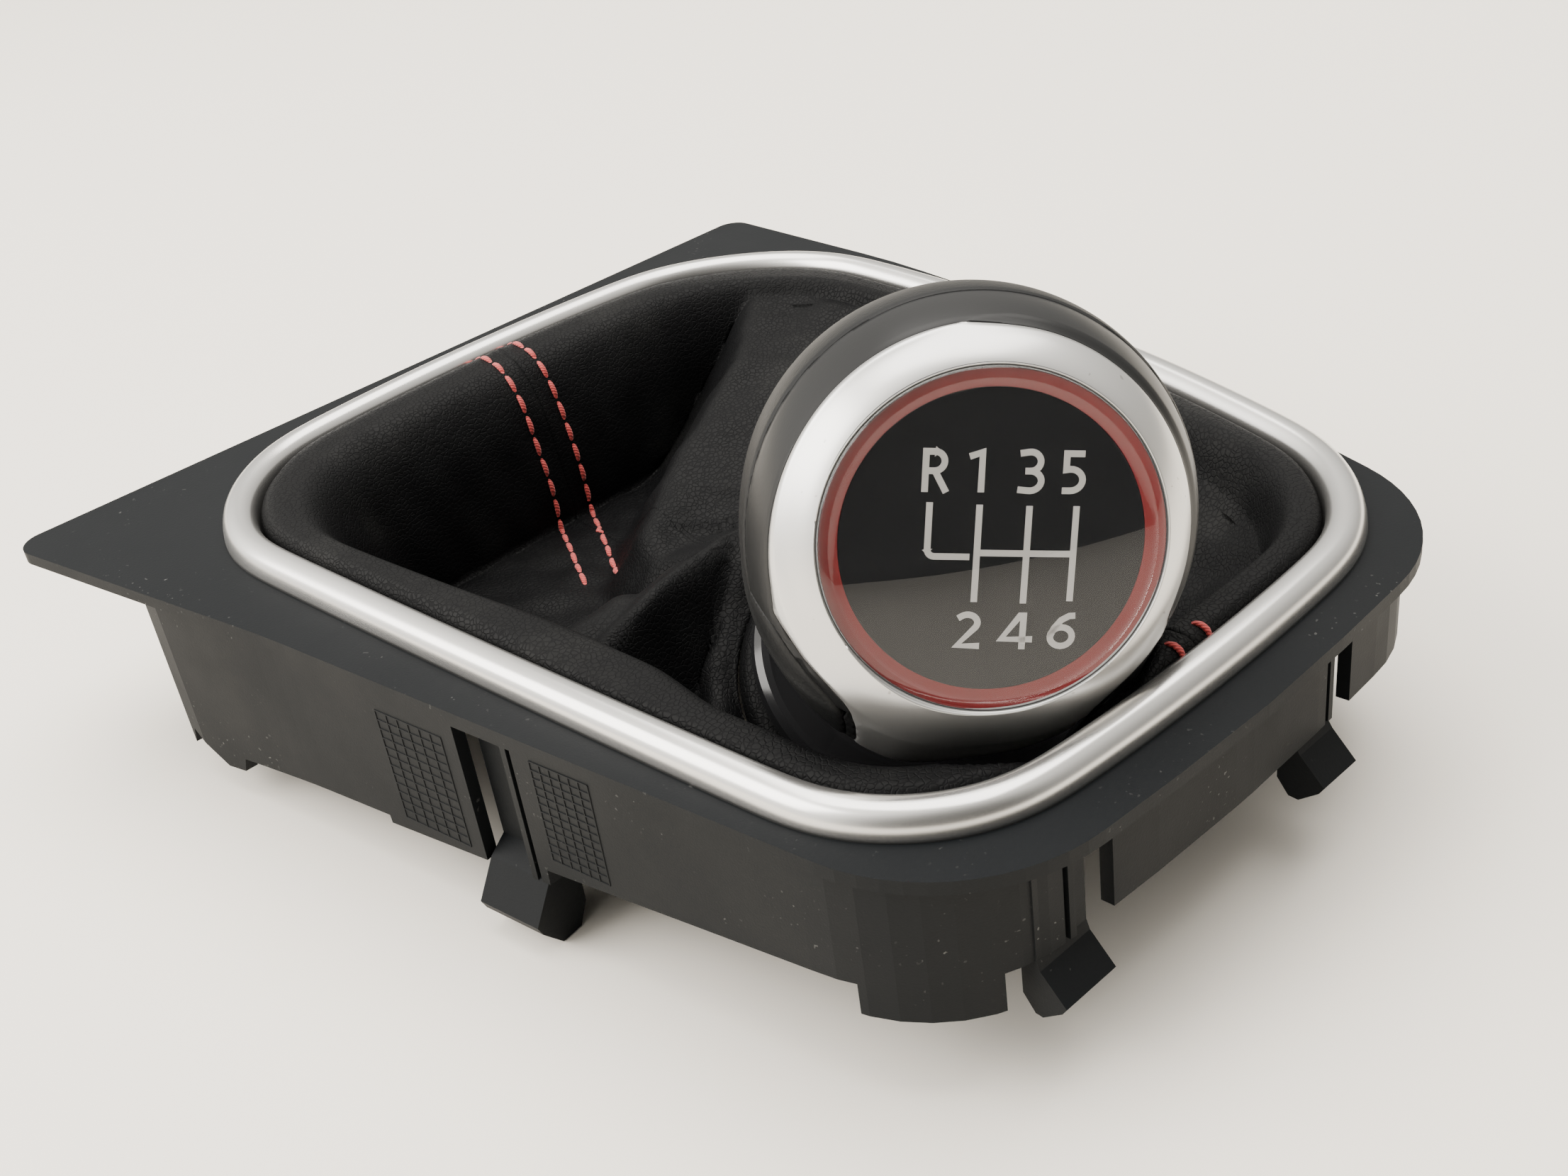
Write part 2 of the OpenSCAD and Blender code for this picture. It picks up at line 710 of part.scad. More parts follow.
// Width of the roll along the rim, and of its turn down into the wall
function roll_w(a) = 3 + 3.5 * sector(a, 60, 172, 30) + 2 * sector(a, 40, 60, 20);
function turn_w(a) = 6 + 5 * in_pocket(a) - 1 * sector(a, 240, 320, 30);
// Folds: crest points with their heights, and the slopes to the left and the right of the line
folds = [
    [[[56, 57, 2.5], [39, 42.5, -1], [22, 35.5, -5], [9, 30.5, -9], [1, 25.5, -12], [-3, 19, -13.5], [-1, 9, -11]], 0.12, 1.5],
    [[[pivot_x - 2, pivot_y + 32.5, -1.2], [pivot_x - 12, pivot_y + 29.5, -1.8], [pivot_x - 24, pivot_y + 28.5, -2.8],
      [pivot_x - 34, pivot_y + 30.5, -4.5], [pivot_x - 44, pivot_y + 37.5, -1]], 1.9, 1.1]
];
function side_of(p, a, b) = (b[0] - a[0]) * (p[1] - a[1]) - (b[1] - a[1]) * (p[0] - a[0]);
function seg_z(p, a, b, left, right) =
    let (d = [b[0] - a[0], b[1] - a[1]], f = clip(((p[0] - a[0]) * d[0] + (p[1] - a[1]) * d[1]) / (d * d), 0, 1))
    let (c = a * (1 - f) + b * f, r = norm([p[0] - c[0], p[1] - c[1]]))
    c[2] - (side_of(p, a, b) > 0 ? left : right) * (sqrt(r * r + 2) - 1.4);
function seg_far(p, a, b) =
    let (d = [b[0] - a[0], b[1] - a[1]], f = clip(((p[0] - a[0]) * d[0] + (p[1] - a[1]) * d[1]) / (d * d), 0, 1))
    norm([p[0] - mix(a[0], b[0], f), p[1] - mix(a[1], b[1], f)]);
function fold_z(p, line, left, right) =
    let (far = [for (i = [0 : len(line) - 2]) seg_far(p, line[i], line[i + 1])], least = min(far))
    max([for (i = [0 : len(line) - 2]) if (far[i] <= least + 0.001) seg_z(p, line[i], line[i + 1], left, right)]);
pocket_z = plate_t - 6 - pocket;
// Height of the leather between its walls and the collar: at p, in direction a, a share f of the way out, h from the collar
function inner_z(p, a, f, h, ez) =
    let (lin = ez + (plate_t + 1 - ez) * pow(f, 0.85) - 2.5 * sin(180 * f))
    let (low = mix(mix(lin, -17, in_hollow(a)), pocket_z, in_pocket(a)))
    let (brim = ez + 1 - 1.1 * max(0, h - 3))
    let (z0 = soft_max(low, brim, 5))
    let (z1 = soft_max(z0, fold_z(p, folds[0][0], folds[0][1], folds[0][2]) - 60 * (1 - sector(a, 20, 112, 30)), 3))
    soft_max(z1, fold_z(p, folds[1][0], folds[1][1], folds[1][2]), 3);
function roll_z(a) = plate_t + roll_h + 0.8 * in_pocket(a);
wall_turns = [24, 44, 60, 74, 86];
inner_rows = 10;
rows = 5 + len(wall_turns) + inner_rows + len(leather_turn);
function leather_point(i, j) =
    let (q = leather_rim[i], m = leather_dir[i], to = q - [pivot_x, pivot_y], a = atan2(to[1], to[0]))
    let (out = flat_out(unit(to)), k = rows - 1 - j, e = pivot + out * leather_turn[5][0] + axis * leather_turn[5][1])
    j == 0 ? [q[0], q[1], holder_z + 0.2 + leather_t / 2] :
    j == 1 ? below_head([q[0], q[1], plate_t + 0.4]) :
    j == 2 ? on_holder(below_head([q[0] + m[0] * 0.7, q[1] + m[1] * 0.7, plate_t + roll_h - 0.5])) :
    k < len(leather_turn) ? pivot + out * leather_turn[k][0] + axis * leather_turn[k][1] :
    let (span = [e[0] - q[0], e[1] - q[1]], all = norm(span), u = span / all)
    let (w = min(roll_w(a), all * 0.3), t = min(turn_w(a), all * 0.42), n = j - 5, deep = roll_z(a) - pocket_z)
    let (inner = n >= len(wall_turns), s = (n - len(wall_turns) + 1) / (inner_rows + 1))
    let (d = j == 3 ? min(2, w / 2) : j == 4 ? w : inner ? mix(w + t, all, s) : w + t * sin(wall_turns[n]))
    let (wall = j < 5 ? roll_z(a) - (j == 3 ? 0.2 : 0) :
                inner ? roll_z(a) - deep : roll_z(a) - deep * (1 - cos(wall_turns[n])))
    let (p = q + u * d, z = j < 5 ? wall : soft_max(wall, inner_z(p, a, 1 - d / all, all - d, e[2]), 2.5))
    j == 3 ? on_holder(below_head([p[0], p[1], z])) : clear_all([p[0], p[1], z]);
leather_grid = [for (j = [0 : rows - 1]) [for (i = [0 : leather_n - 1]) leather_point(i, j)]];
function grid_at(i, j) = leather_grid[max(0, min(rows - 1, j))][(i + leather_n) % leather_n];
function leather_normal(i, j) =
    unit(cross(grid_at(i + 1, j) - grid_at(i - 1, j), grid_at(i, j + 1) - grid_at(i, j - 1)));
module gaiter() {
    color([0.13, 0.13, 0.13])
    sweep_closed(concat(
        [for (j = [0 : rows - 1]) [for (i = [0 : leather_n - 1])
            grid_at(i, j) + leather_normal(i, j) * leather_t / 2]],
        [for (j = [rows - 1 : -1 : 0]) [for (i = [0 : leather_n - 1])
            grid_at(i, j) - leather_normal(i, j) * leather_t / 2]]));
}

console_frame();
trim_ring();
gaiter_frame();
gaiter();
gaiter_collar();
gaiter_clamp();
knob_core();
lever_insert();
rear_shell();
side_band();
bezel();
dial_carrier();
dial_disc();
red_ring();
lens();
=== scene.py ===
import bpy
import math
import numpy as np
from mathutils import Matrix, Vector


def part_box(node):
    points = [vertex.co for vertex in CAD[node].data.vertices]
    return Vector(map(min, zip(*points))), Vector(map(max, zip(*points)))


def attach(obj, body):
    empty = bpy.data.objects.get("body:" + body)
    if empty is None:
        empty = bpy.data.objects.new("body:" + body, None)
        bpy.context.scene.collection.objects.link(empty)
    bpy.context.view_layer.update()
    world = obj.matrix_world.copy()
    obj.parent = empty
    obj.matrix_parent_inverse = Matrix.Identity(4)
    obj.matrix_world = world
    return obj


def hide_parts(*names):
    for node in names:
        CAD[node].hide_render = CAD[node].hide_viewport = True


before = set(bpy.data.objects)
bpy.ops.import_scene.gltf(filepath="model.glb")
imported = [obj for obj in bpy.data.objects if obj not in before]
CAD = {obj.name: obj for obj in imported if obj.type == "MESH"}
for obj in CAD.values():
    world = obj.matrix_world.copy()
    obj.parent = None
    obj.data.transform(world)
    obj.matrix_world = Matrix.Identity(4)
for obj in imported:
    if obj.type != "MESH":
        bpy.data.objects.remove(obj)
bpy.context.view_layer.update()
MM = 0.001

# Camera
CAMERA_PLACE = (-0.14189, -0.18416, 0.13279)
CAMERA_TURN = (57.445, 7.023, -43.231)
CAMERA_LENS = 40.69
cam_data = bpy.data.cameras.new("camera")
cam_data.sensor_width = 36
cam_data.sensor_fit = "HORIZONTAL"
cam_data.lens = CAMERA_LENS
cam_data.clip_start, cam_data.clip_end = 0.01, 20
cam = bpy.data.objects.new("camera", cam_data)
bpy.context.scene.collection.objects.link(cam)
cam.location = CAMERA_PLACE
cam.rotation_euler = [math.radians(a) for a in CAMERA_TURN]
bpy.context.scene.camera = cam


# Helpers
def add(name, verts, faces, smooth=True, unit=MM):
    """A mesh object from points in millimetres."""
    me = bpy.data.meshes.new(name)
    points = [tuple(float(c) * unit for c in v) for v in verts]
    me.from_pydata(points, [], [tuple(int(i) for i in f) for f in faces])
    me.update()
    if smooth:
        me.polygons.foreach_set("use_smooth", [True] * len(me.polygons))
    ob = bpy.data.objects.new(name, me)
    bpy.context.scene.collection.objects.link(ob)
    return ob


def grid_faces(rows, cols, closed=True, start=0):
    """Four-sided faces of a grid of points, whose rows may close on themselves."""
    out = []
    for j in range(rows - 1):
        for i in range(cols if closed else cols - 1):
            k = (i + 1) % cols
            low = start + j * cols
            out.append((low + i, low + k, low + cols + k, low + cols + i))
    return out


class Mat:
    """A node material with a short way to add nodes."""

    def __init__(self, name):
        self.mat = bpy.data.materials.new(name)
        self.mat.use_nodes = True
        self.nt = self.mat.node_tree
        self.nt.nodes.clear()
        self.out = self.nt.nodes.new("ShaderNodeOutputMaterial")
        self.bsdf = self.nt.nodes.new("ShaderNodeBsdfPrincipled")
        self.nt.links.new(self.bsdf.outputs[0], self.out.inputs[0])
        self.coord = self.nt.nodes.new("ShaderNodeTexCoord").outputs["Object"]

    def node(self, kind, **values):
        n = self.nt.nodes.new(kind)
        for k, v in values.items():
            setattr(n, k, v)
        return n

    def link(self, a, b):
        self.nt.links.new(a, b)

    def noise(self, scale, detail=2.0, rough=0.5, distort=0.0, coord=None):
        n = self.node("ShaderNodeTexNoise")
        n.inputs["Scale"].default_value = scale
        n.inputs["Detail"].default_value = detail
        n.inputs["Roughness"].default_value = rough
        n.inputs["Distortion"].default_value = distort
        self.link(coord or self.coord, n.inputs["Vector"])
        return n.outputs["Fac"]

    def voronoi(self, scale, feature="F1", random=1.0, coord=None):
        n = self.node("ShaderNodeTexVoronoi", feature=feature)
        n.inputs["Scale"].default_value = scale
        n.inputs["Randomness"].default_value = random
        self.link(coord or self.coord, n.inputs["Vector"])
        return n.outputs["Distance"]

    def math(self, op, a, b=None, c=None, clamp=False):
        n = self.node("ShaderNodeMath", operation=op, use_clamp=clamp)
        for s, v in zip(n.inputs, (a, b, c)):
            if v is None:
                continue
            if isinstance(v, (int, float)):
                s.default_value = v
            else:
                self.link(v, s)
        return n.outputs[0]

    def ramp(self, fac, *stops):
        n = self.node("ShaderNodeMapRange", interpolation_type="SMOOTHSTEP")
        self.link(fac, n.inputs["Value"])
        n.inputs["From Min"].default_value, n.inputs["From Max"].default_value = stops[0], stops[1]
        n.inputs["To Min"].default_value, n.inputs["To Max"].default_value = stops[2], stops[3]
        return n.outputs["Result"]

    def mix(self, fac, a, b):
        n = self.node("ShaderNodeMix", data_type="RGBA")
        for s, v in ((n.inputs[0], fac), (n.inputs[6], a), (n.inputs[7], b)):
            if isinstance(v, (tuple, list)):
                s.default_value = (*v, 1) if len(v) == 3 else v
            elif isinstance(v, (int, float)):
                s.default_value = v
            else:
                self.link(v, s)
        return n.outputs[2]

    def bump(self, height, strength, distance, normal=None):
        n = self.node("ShaderNodeBump")
        n.inputs["Strength"].default_value = strength
        n.inputs["Distance"].default_value = distance
        self.link(height, n.inputs["Height"])
        if normal is not None:
            self.link(normal, n.inputs["Normal"])
        return n.outputs["Normal"]

    def set(self, **values):
        for k, v in values.items():
            s = self.bsdf.inputs[k.replace("_", " ")]
            if isinstance(v, (tuple, list)):
                s.default_value = (*v, 1) if len(v) == 3 else v
            elif isinstance(v, (int, float)):
                s.default_value = v
            else:
                self.link(v, s)
        return self


def give(node, mat):
    """Puts a material on a piece, given as a CAD node's name or as an object."""
    ob = CAD[node] if isinstance(node, str) else node
    ob.data.materials.clear()
    ob.data.materials.append(mat.mat)


# Materials
m = Mat("frame_plastic")
cloud = m.noise(22, 4, 0.6)
speck = m.ramp(m.noise(1400, 1, 0.5), 0.70, 0.76, 0, 1)
dusty = m.ramp(m.noise(60, 3, 0.6), 0.5, 0.75, 0, 0.5)
base = m.mix(cloud, (0.0042, 0.0052, 0.0062), (0.0062, 0.0073, 0.0084))
base = m.mix(m.math("MULTIPLY", speck, dusty), base, (0.22, 0.22, 0.21))
grain = m.noise(3200, 2, 0.6)
m.set(Base_Color=base, Roughness=m.ramp(cloud, 0.3, 0.7, 0.50, 0.62), Normal=m.bump(grain, 0.35, 0.00006))
m.set(Specular_IOR_Level=0.11)
M_frame = m

m = Mat("trim_silver")
soft = m.noise(14, 3, 0.6)
fine = m.noise(5200, 1, 0.5)
tone = m.mix(soft, (0.64, 0.63, 0.61), (0.70, 0.69, 0.67))
m.set(Base_Color=tone, Roughness=m.ramp(soft, 0.3, 0.7, 0.20, 0.27), Normal=m.bump(fine, 0.10, 0.00002))
m.set(Metallic=0.92)
M_trim = m

m = Mat("bezel_silver")
soft = m.noise(20, 3, 0.6)
fine = m.noise(6500, 1, 0.5)
pit = m.ramp(m.noise(900, 1, 0.5), 0.76, 0.80, 0, 1)
tone = m.mix(soft, (0.62, 0.615, 0.60), (0.68, 0.675, 0.66))
tone = m.mix(pit, tone, (0.45, 0.44, 0.42))
m.set(Base_Color=tone, Roughness=m.ramp(soft, 0.3, 0.7, 0.30, 0.35), Normal=m.bump(fine, 0.10, 0.00002))
m.set(Metallic=0.86)
M_bezel = m

m = Mat("black_plastic")
soft = m.noise(40, 3, 0.5)
m.set(Base_Color=m.mix(soft, (0.022, 0.022, 0.024), (0.035, 0.035, 0.037)),
      Roughness=m.ramp(soft, 0.3, 0.7, 0.40, 0.52), Normal=m.bump(m.noise(2600, 2, 0.5), 0.2, 0.00005))
M_black = m

m = Mat("collar_gloss")
soft = m.noise(60, 3, 0.5)
m.set(Base_Color=m.mix(soft, (0.010, 0.010, 0.011), (0.016, 0.016, 0.017)),
      Roughness=m.ramp(soft, 0.3, 0.7, 0.10, 0.18), Normal=m.bump(m.noise(900, 2, 0.5), 0.06, 0.00004))
M_collar = m

m = Mat("clamp_steel")
soft = m.noise(300, 2, 0.5)
m.set(Base_Color=m.mix(soft, (0.46, 0.47, 0.48), (0.58, 0.59, 0.60)),
      Roughness=m.ramp(soft, 0.3, 0.7, 0.26, 0.38),
      Normal=m.bump(m.noise(2200, 2, 0.5), 0.15, 0.00003))
m.set(Metallic=1.0)
M_clamp = m

m = Mat("insert_metal")
soft = m.noise(120, 3, 0.6)
m.set(Base_Color=m.mix(soft, (0.30, 0.30, 0.31), (0.42, 0.42, 0.43)),
      Roughness=m.ramp(soft, 0.3, 0.7, 0.38, 0.52),
      Normal=m.bump(m.noise(1500, 3, 0.6), 0.3, 0.00005))
m.set(Metallic=0.9)
M_insert = m

m = Mat("shell_grain")
cloud = m.noise(30, 3, 0.6)
grain = m.noise(2400, 2, 0.55)
m.set(Base_Color=m.mix(cloud, (0.0070, 0.0073, 0.0076), (0.0108, 0.0112, 0.0115)),
      Roughness=m.ramp(cloud, 0.3, 0.7, 0.42, 0.52), Normal=m.bump(grain, 0.5, 0.00010))
m.set(Specular_IOR_Level=0.17)
M_shell = m

m = Mat("band_black")
cloud = m.noise(35, 3, 0.6)
grain = m.noise(3200, 1, 0.5)
m.set(Base_Color=m.mix(cloud, (0.0088, 0.0091, 0.0094), (0.0123, 0.0126, 0.0128)),
      Roughness=m.ramp(cloud, 0.3, 0.7, 0.30, 0.38), Normal=m.bump(grain, 0.14, 0.00004))
m.set(Specular_IOR_Level=0.22)
M_band = m

m = Mat("dial_black")
cloud = m.noise(90, 3, 0.6)
m.set(Base_Color=m.mix(cloud, (0.0040, 0.0042, 0.0050), (0.0075, 0.0077, 0.0085)),
      Roughness=m.ramp(cloud, 0.3, 0.7, 0.40, 0.48))
m.set(Specular_IOR_Level=0.12)
M_dial = m

m = Mat("dial_figures")
cloud = m.noise(200, 2, 0.5)
m.set(Base_Color=m.mix(cloud, (0.40, 0.38, 0.36), (0.47, 0.45, 0.43)),
      Roughness=m.ramp(cloud, 0.3, 0.7, 0.5, 0.6))
M_figures = m

m = Mat("ring_red")
cloud = m.noise(80, 3, 0.6)
m.set(Base_Color=m.mix(cloud, (0.15, 0.0055, 0.006), (0.185, 0.0075, 0.008)),
      Roughness=m.ramp(cloud, 0.3, 0.7, 0.32, 0.42), Normal=m.bump(m.noise(2500, 1, 0.5), 0.1, 0.00003))
M_red = m

m = Mat("lens_clear")
m.set(Base_Color=(0.97, 0.98, 0.98), Roughness=m.ramp(m.noise(50, 3, 0.6), 0.3, 0.7, 0.0, 0.012),
      Normal=m.bump(m.noise(14, 1, 0.5), 0.03, 0.0002))
m.set(Transmission_Weight=1.0, IOR=1.47)
clear = m.node("ShaderNodeBsdfTransparent")
clear.inputs[0].default_value = (0.93, 0.94, 0.94, 1)
path = m.node("ShaderNodeLightPath")
pick = m.node("ShaderNodeMixShader")
m.link(path.outputs["Is Shadow Ray"], pick.inputs[0])
m.link(m.bsdf.outputs[0], pick.inputs[1])
m.link(clear.outputs[0], pick.inputs[2])
m.link(pick.outputs[0], m.out.inputs[0])
M_lens = m

m = Mat("leather_black")
warp = m.node("ShaderNodeVectorMath", operation="MULTIPLY_ADD")
wob = m.node("ShaderNodeTexNoise")
wob.inputs["Scale"].default_value = 420
wob.inputs["Detail"].default_value = 2
m.link(m.coord, wob.inputs["Vector"])
m.link(wob.outputs["Color"], warp.inputs[0])
warp.inputs[1].default_value = (0.0009, 0.0009, 0.0009)
m.link(m.coord, warp.inputs[2])
pebble = m.voronoi(1250, "SMOOTH_F1", 0.9, warp.outputs[0])
edge = m.voronoi(1250, "DISTANCE_TO_EDGE", 0.9, warp.outputs[0])
crease = m.ramp(edge, 0.0, 0.16, 0, 1)
height = m.math("MULTIPLY_ADD", crease, 0.8, m.math("MULTIPLY", m.noise(3600, 2, 0.6), 0.35))
hide = m.noise(26, 4, 0.65)
dust = m.ramp(m.noise(48, 4, 0.6), 0.50, 0.78, 0, 1)
base = m.mix(hide, (0.0024, 0.0025, 0.0028), (0.0052, 0.0053, 0.0055))
base = m.mix(m.math("MULTIPLY", dust, 0.25), base, (0.030, 0.030, 0.028))
# Painted shade: the base colour is darker in the grain's creases, where the bump sinks.
base = m.mix(m.ramp(crease, 0.0, 1.0, 0.5, 0.0), base, (0.003, 0.003, 0.0035))
m.set(Base_Color=base, Roughness=m.ramp(crease, 0.0, 1.0, 0.62, 0.46),
      Normal=m.bump(m.noise(140, 3, 0.5), 0.35, 0.0006, m.bump(height, 0.62, 0.00011)))
m.set(Specular_IOR_Level=0.08)
M_leather = m

m = Mat("thread_red")
strand = m.node("ShaderNodeTexWave", wave_type="BANDS", bands_direction="DIAGONAL")
strand.inputs["Scale"].default_value = 900
strand.inputs["Distortion"].default_value = 1.5
m.link(m.coord, strand.inputs["Vector"])
# Painted shade: the base colour is darker in the grooves between the thread's strands, where the bump sinks.
m.set(Base_Color=m.mix(strand.outputs["Fac"], (0.30, 0.022, 0.022), (0.62, 0.065, 0.055)),
      Roughness=m.ramp(strand.outputs["Fac"], 0, 1, 0.6, 0.75),
      Normal=m.bump(strand.outputs["Fac"], 0.6, 0.0001))
m.set(Sheen_Weight=0.3)
M_thread = m

CAD_LOOKS = {
    "console_frame": M_frame, "trim_ring": M_trim, "gaiter_frame": M_black, "gaiter": M_leather,
    "gaiter_collar": M_collar, "gaiter_clamp": M_clamp, "knob_core": M_black, "lever_insert": M_insert,
    "rear_shell": M_shell, "side_band": M_band, "bezel": M_bezel, "dial_carrier": M_black,
    "dial_disc": M_dial, "red_ring": M_red, "lens": M_lens}
for node, mat in CAD_LOOKS.items():
    give(node, mat)

# Stage and light
floor_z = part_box("console_frame")[0].z / MM - 0.2
REACH = 2500
corners = [(x * REACH, y * REACH, floor_z) for x, y in ((-1, -1), (1, -1), (1, 1), (-1, 1))]
floor = add("stage_floor", corners, [(0, 1, 2, 3)], False)
m = Mat("stage_white")
m.set(Base_Color=m.mix(m.noise(2, 2, 0.5), (0.95, 0.895, 0.805), (0.96, 0.905, 0.815)),
      Roughness=m.ramp(m.noise(3, 2, 0.5), 0.3, 0.7, 0.65, 0.7))
m.set(Specular_IOR_Level=0.2)
give(floor, m)

world = bpy.data.worlds.new("studio")
bpy.context.scene.world = world
world.use_nodes = True
nt = world.node_tree
nt.nodes.clear()
w_out = nt.nodes.new("ShaderNodeOutputWorld")
w_bg = nt.nodes.new("ShaderNodeBackground")
w_sky = nt.nodes.new("ShaderNodeBackground")
w_mix = nt.nodes.new("ShaderNodeMixShader")
w_path = nt.nodes.new("ShaderNodeLightPath")
nt.links.new(w_path.outputs["Is Camera Ray"], w_mix.inputs[0])
nt.links.new(w_bg.outputs[0], w_mix.inputs[1])
nt.links.new(w_sky.outputs[0], w_mix.inputs[2])
nt.links.new(w_mix.outputs[0], w_out.inputs[0])
w_sky.inputs[0].default_value = (0.90, 0.875, 0.825, 1)
w_sky.inputs[1].default_value = 1.0
w_dir = nt.nodes.new("ShaderNodeTexCoord").outputs["Generated"]


def lobe(direction, lo, hi, to_lo, to_hi):
    """Brightness that changes with the angle to a direction in the room."""
    d = nt.nodes.new("ShaderNodeVectorMath")
    d.operation = "DOT_PRODUCT"
    nt.links.new(w_dir, d.inputs[0])
    v = Vector(direction).normalized()
    d.inputs[1].default_value = v
    r = nt.nodes.new("ShaderNodeMapRange")
    r.interpolation_type = "SMOOTHSTEP"
    nt.links.new(d.outputs["Value"], r.inputs["Value"])
    for k, q in zip(("From Min", "From Max", "To Min", "To Max"), (lo, hi, to_lo, to_hi)):
        r.inputs[k].default_value = q
    return r.outputs["Result"]


def w_math(op, a, b):
    n = nt.nodes.new("ShaderNodeMath")
    n.operation = op
    for s_, v in zip(n.inputs, (a, b)):
        if isinstance(v, (int, float)):
            s_.default_value = v
        else:
            nt.links.new(v, s_)
    return n.outputs[0]


side_light = lobe((-0.80, 0.50, 0.40), 0.30, 0.95, 0.0, 1.7)
top_light = lobe((0.05, 0.25, 1), -0.1, 0.9, 0.46, 1.38)
w_level = w_math("ADD", side_light, top_light)
w_level = w_math("MULTIPLY", w_level, lobe((-0.55, -0.80, 0.22), 0.45, 0.95, 1.0, 0.22))
w_bg.inputs[0].default_value = (1.0, 0.97, 0.91, 1)
nt.links.new(w_level, w_bg.inputs[1])


def area(name, loc, target, size, power, color):
    li = bpy.data.lights.new(name, "AREA")
    li.shape = "RECTANGLE"
    li.size, li.size_y = size
    li.energy = power
    li.color = color
    ob = bpy.data.objects.new(name, li)
    bpy.context.scene.collection.objects.link(ob)
    ob.location = loc
    ob.rotation_euler = (Vector(target) - Vector(loc)).to_track_quat("-Z", "Y").to_euler()
    return ob


area("window", (-0.75, 0.45, 0.62), (0, 0, 0), (0.9, 0.7), 14.0, (1.0, 0.965, 0.92))
area("ceiling", (0.25, 0.15, 1.15), (0, 0, 0), (1.2, 1.2), 25.5, (1.0, 0.965, 0.92))

# Knob pose
LEAN, TURN, SPIN, TILT = 29.6, 21.4, -20.8, 45.0
PIVOT = Vector((-0.3, -35.5, -12.6))
REST = (Matrix.Translation(PIVOT) @ Matrix.Rotation(math.radians(-TURN), 4, "Z")
        @ Matrix.Rotation(math.radians(LEAN), 4, "X") @ Matrix.Rotation(math.radians(SPIN), 4, "Z"))
AXIS = (REST.to_3x3() @ Vector((0, 0, 1))).normalized()
BALL_R, NECK_L, DIAL_H, LENS_R = 27.6, 41.0, 17.0, 19.9
DIAL = (REST @ Matrix.Translation((0, 0, NECK_L)) @ Matrix.Rotation(math.radians(TILT), 4, "X")
        @ Matrix.Translation((0, 0, DIAL_H)))


def ease(f):
    """Smooth step from 0 to 1."""
    g = np.clip(f, 0, 1)
    return g * g * (3 - 2 * g)


def placed(mat, pts):
    """Points moved by a matrix."""
    return [tuple(mat @ Vector(p)) for p in pts]


# Dial figures
def ribbon(line, width, z0, z1):
    """A flat band of even width along a line, with mitred corners."""
    p = [Vector((x, y)) for x, y in line]
    closed = (p[0] - p[-1]).length < 1e-6
    if closed:
        p = p[:-1]
    n = len(p)
    left, right = [], []
    for i in range(n):
        a = p[(i - 1) % n] if closed or i > 0 else None
        b = p[(i + 1) % n] if closed or i < n - 1 else None
        d0 = (p[i] - a).normalized() if a is not None else None
        d1 = (b - p[i]).normalized() if b is not None else None
        if d0 is None:
            d0 = d1
        if d1 is None:
            d1 = d0
        t = (d0 + d1).normalized()
        nrm = Vector((-t.y, t.x))
        k = min(1.6, 1 / max(0.35, nrm.dot(Vector((-d0.y, d0.x)))))
        left.append(p[i] + nrm * width / 2 * k)
        right.append(p[i] - nrm * width / 2 * k)
    v, f = [], []
    for i in range(n):
        for q, z in ((left[i], z1), (right[i], z1), (left[i], z0), (right[i], z0)):
            v.append((q.x, q.y, z))
    for i in range(n if closed else n - 1):
        a, b = 4 * i, 4 * ((i + 1) % n)
        f += [(a, a + 1, b + 1, b), (a + 2, b + 2, b + 3, a + 3)]
        f += [(a, b, b + 2, a + 2), (a + 1, a + 3, b + 3, b + 1)]
    if not closed:
        e = 4 * (n - 1)
        f += [(0, 2, 3, 1), (e, e + 1, e + 3, e + 2)]
    return v, f


def arc(cx, cy, rx, ry, a0, a1, n=12):
    """Points of an arc of an ellipse, between two angles in degrees."""
    turns = [math.radians(a0 + (a1 - a0) * i / n) for i in range(n + 1)]
    return [(cx + rx * math.cos(a), cy + ry * math.sin(a)) for a in turns]


strokes = [
    # R
    [(-7.95, 5.52), (-7.95, 10.08), (-6.95, 10.08)] + arc(-6.95, 9.0, 1.1, 1.08, 90, -90) + [(-7.95, 7.92)],
    [(-6.9, 7.92), (-5.55, 5.52)],
    # 1
    [(-3.1, 9.6), (-1.66, 10.1), (-1.66, 5.6)],
    # 3
    [(2.55, 10.05)] + arc(3.75, 9.15, 1.15, 1.08, 98, -80) + [(3.2, 8.08)],
    [(3.6, 8.08)] + arc(3.75, 6.98, 1.3, 1.12, 85, -100) + [(2.42, 5.98)],
    # 5
    [(9.85, 10.12), (7.82, 10.12), (7.82, 8.3)] + arc(8.35, 7.15, 1.38, 1.22, 95, -90) + [(7.45, 5.93)],
    # 2
    [(-3.35, -8.95)] + arc(-2.25, -9.45, 1.15, 0.95, 125, -35) + [(-3.35, -12.2), (-0.75, -12.2)],
    # 4
    [(4.15, -12.55), (4.15, -8.55), (3.75, -8.55), (1.7, -11.35), (5.3, -11.35)],
    # 6
    [(10.1, -8.5), (9.4, -8.55), (8.5, -9.05), (7.75, -10.0), (7.35, -11.0)]
    + arc(8.62, -11.02, 1.28, 1.12, 180, 540, 20),
    # pattern
    [(-7.3, 4.37), (-7.3, -1.0)] + arc(-6.5, -1.0, 0.8, 0.78, 180, 270, 6) + [(-2.5, -1.78)],
    [(-1.69, 4.2), (-1.69, -7.0)],
    [(3.93, 4.15), (3.93, -7.1)],
    [(9.27, 4.2), (9.27, -6.8)],
    [(-1.4, -1.3), (9.0, -1.3)],
]
verts, faces = [], []
for i, line in enumerate(strokes):
    v, f = ribbon(line, 0.74, -1.5, -1.46 - 0.002 * (i % 3))
    faces += [tuple(q + len(verts) for q in face) for face in f]
    verts += v
figures = add("dial_figures", placed(DIAL, verts), faces, False)
give(figures, M_figures)
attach(figures, "knob")

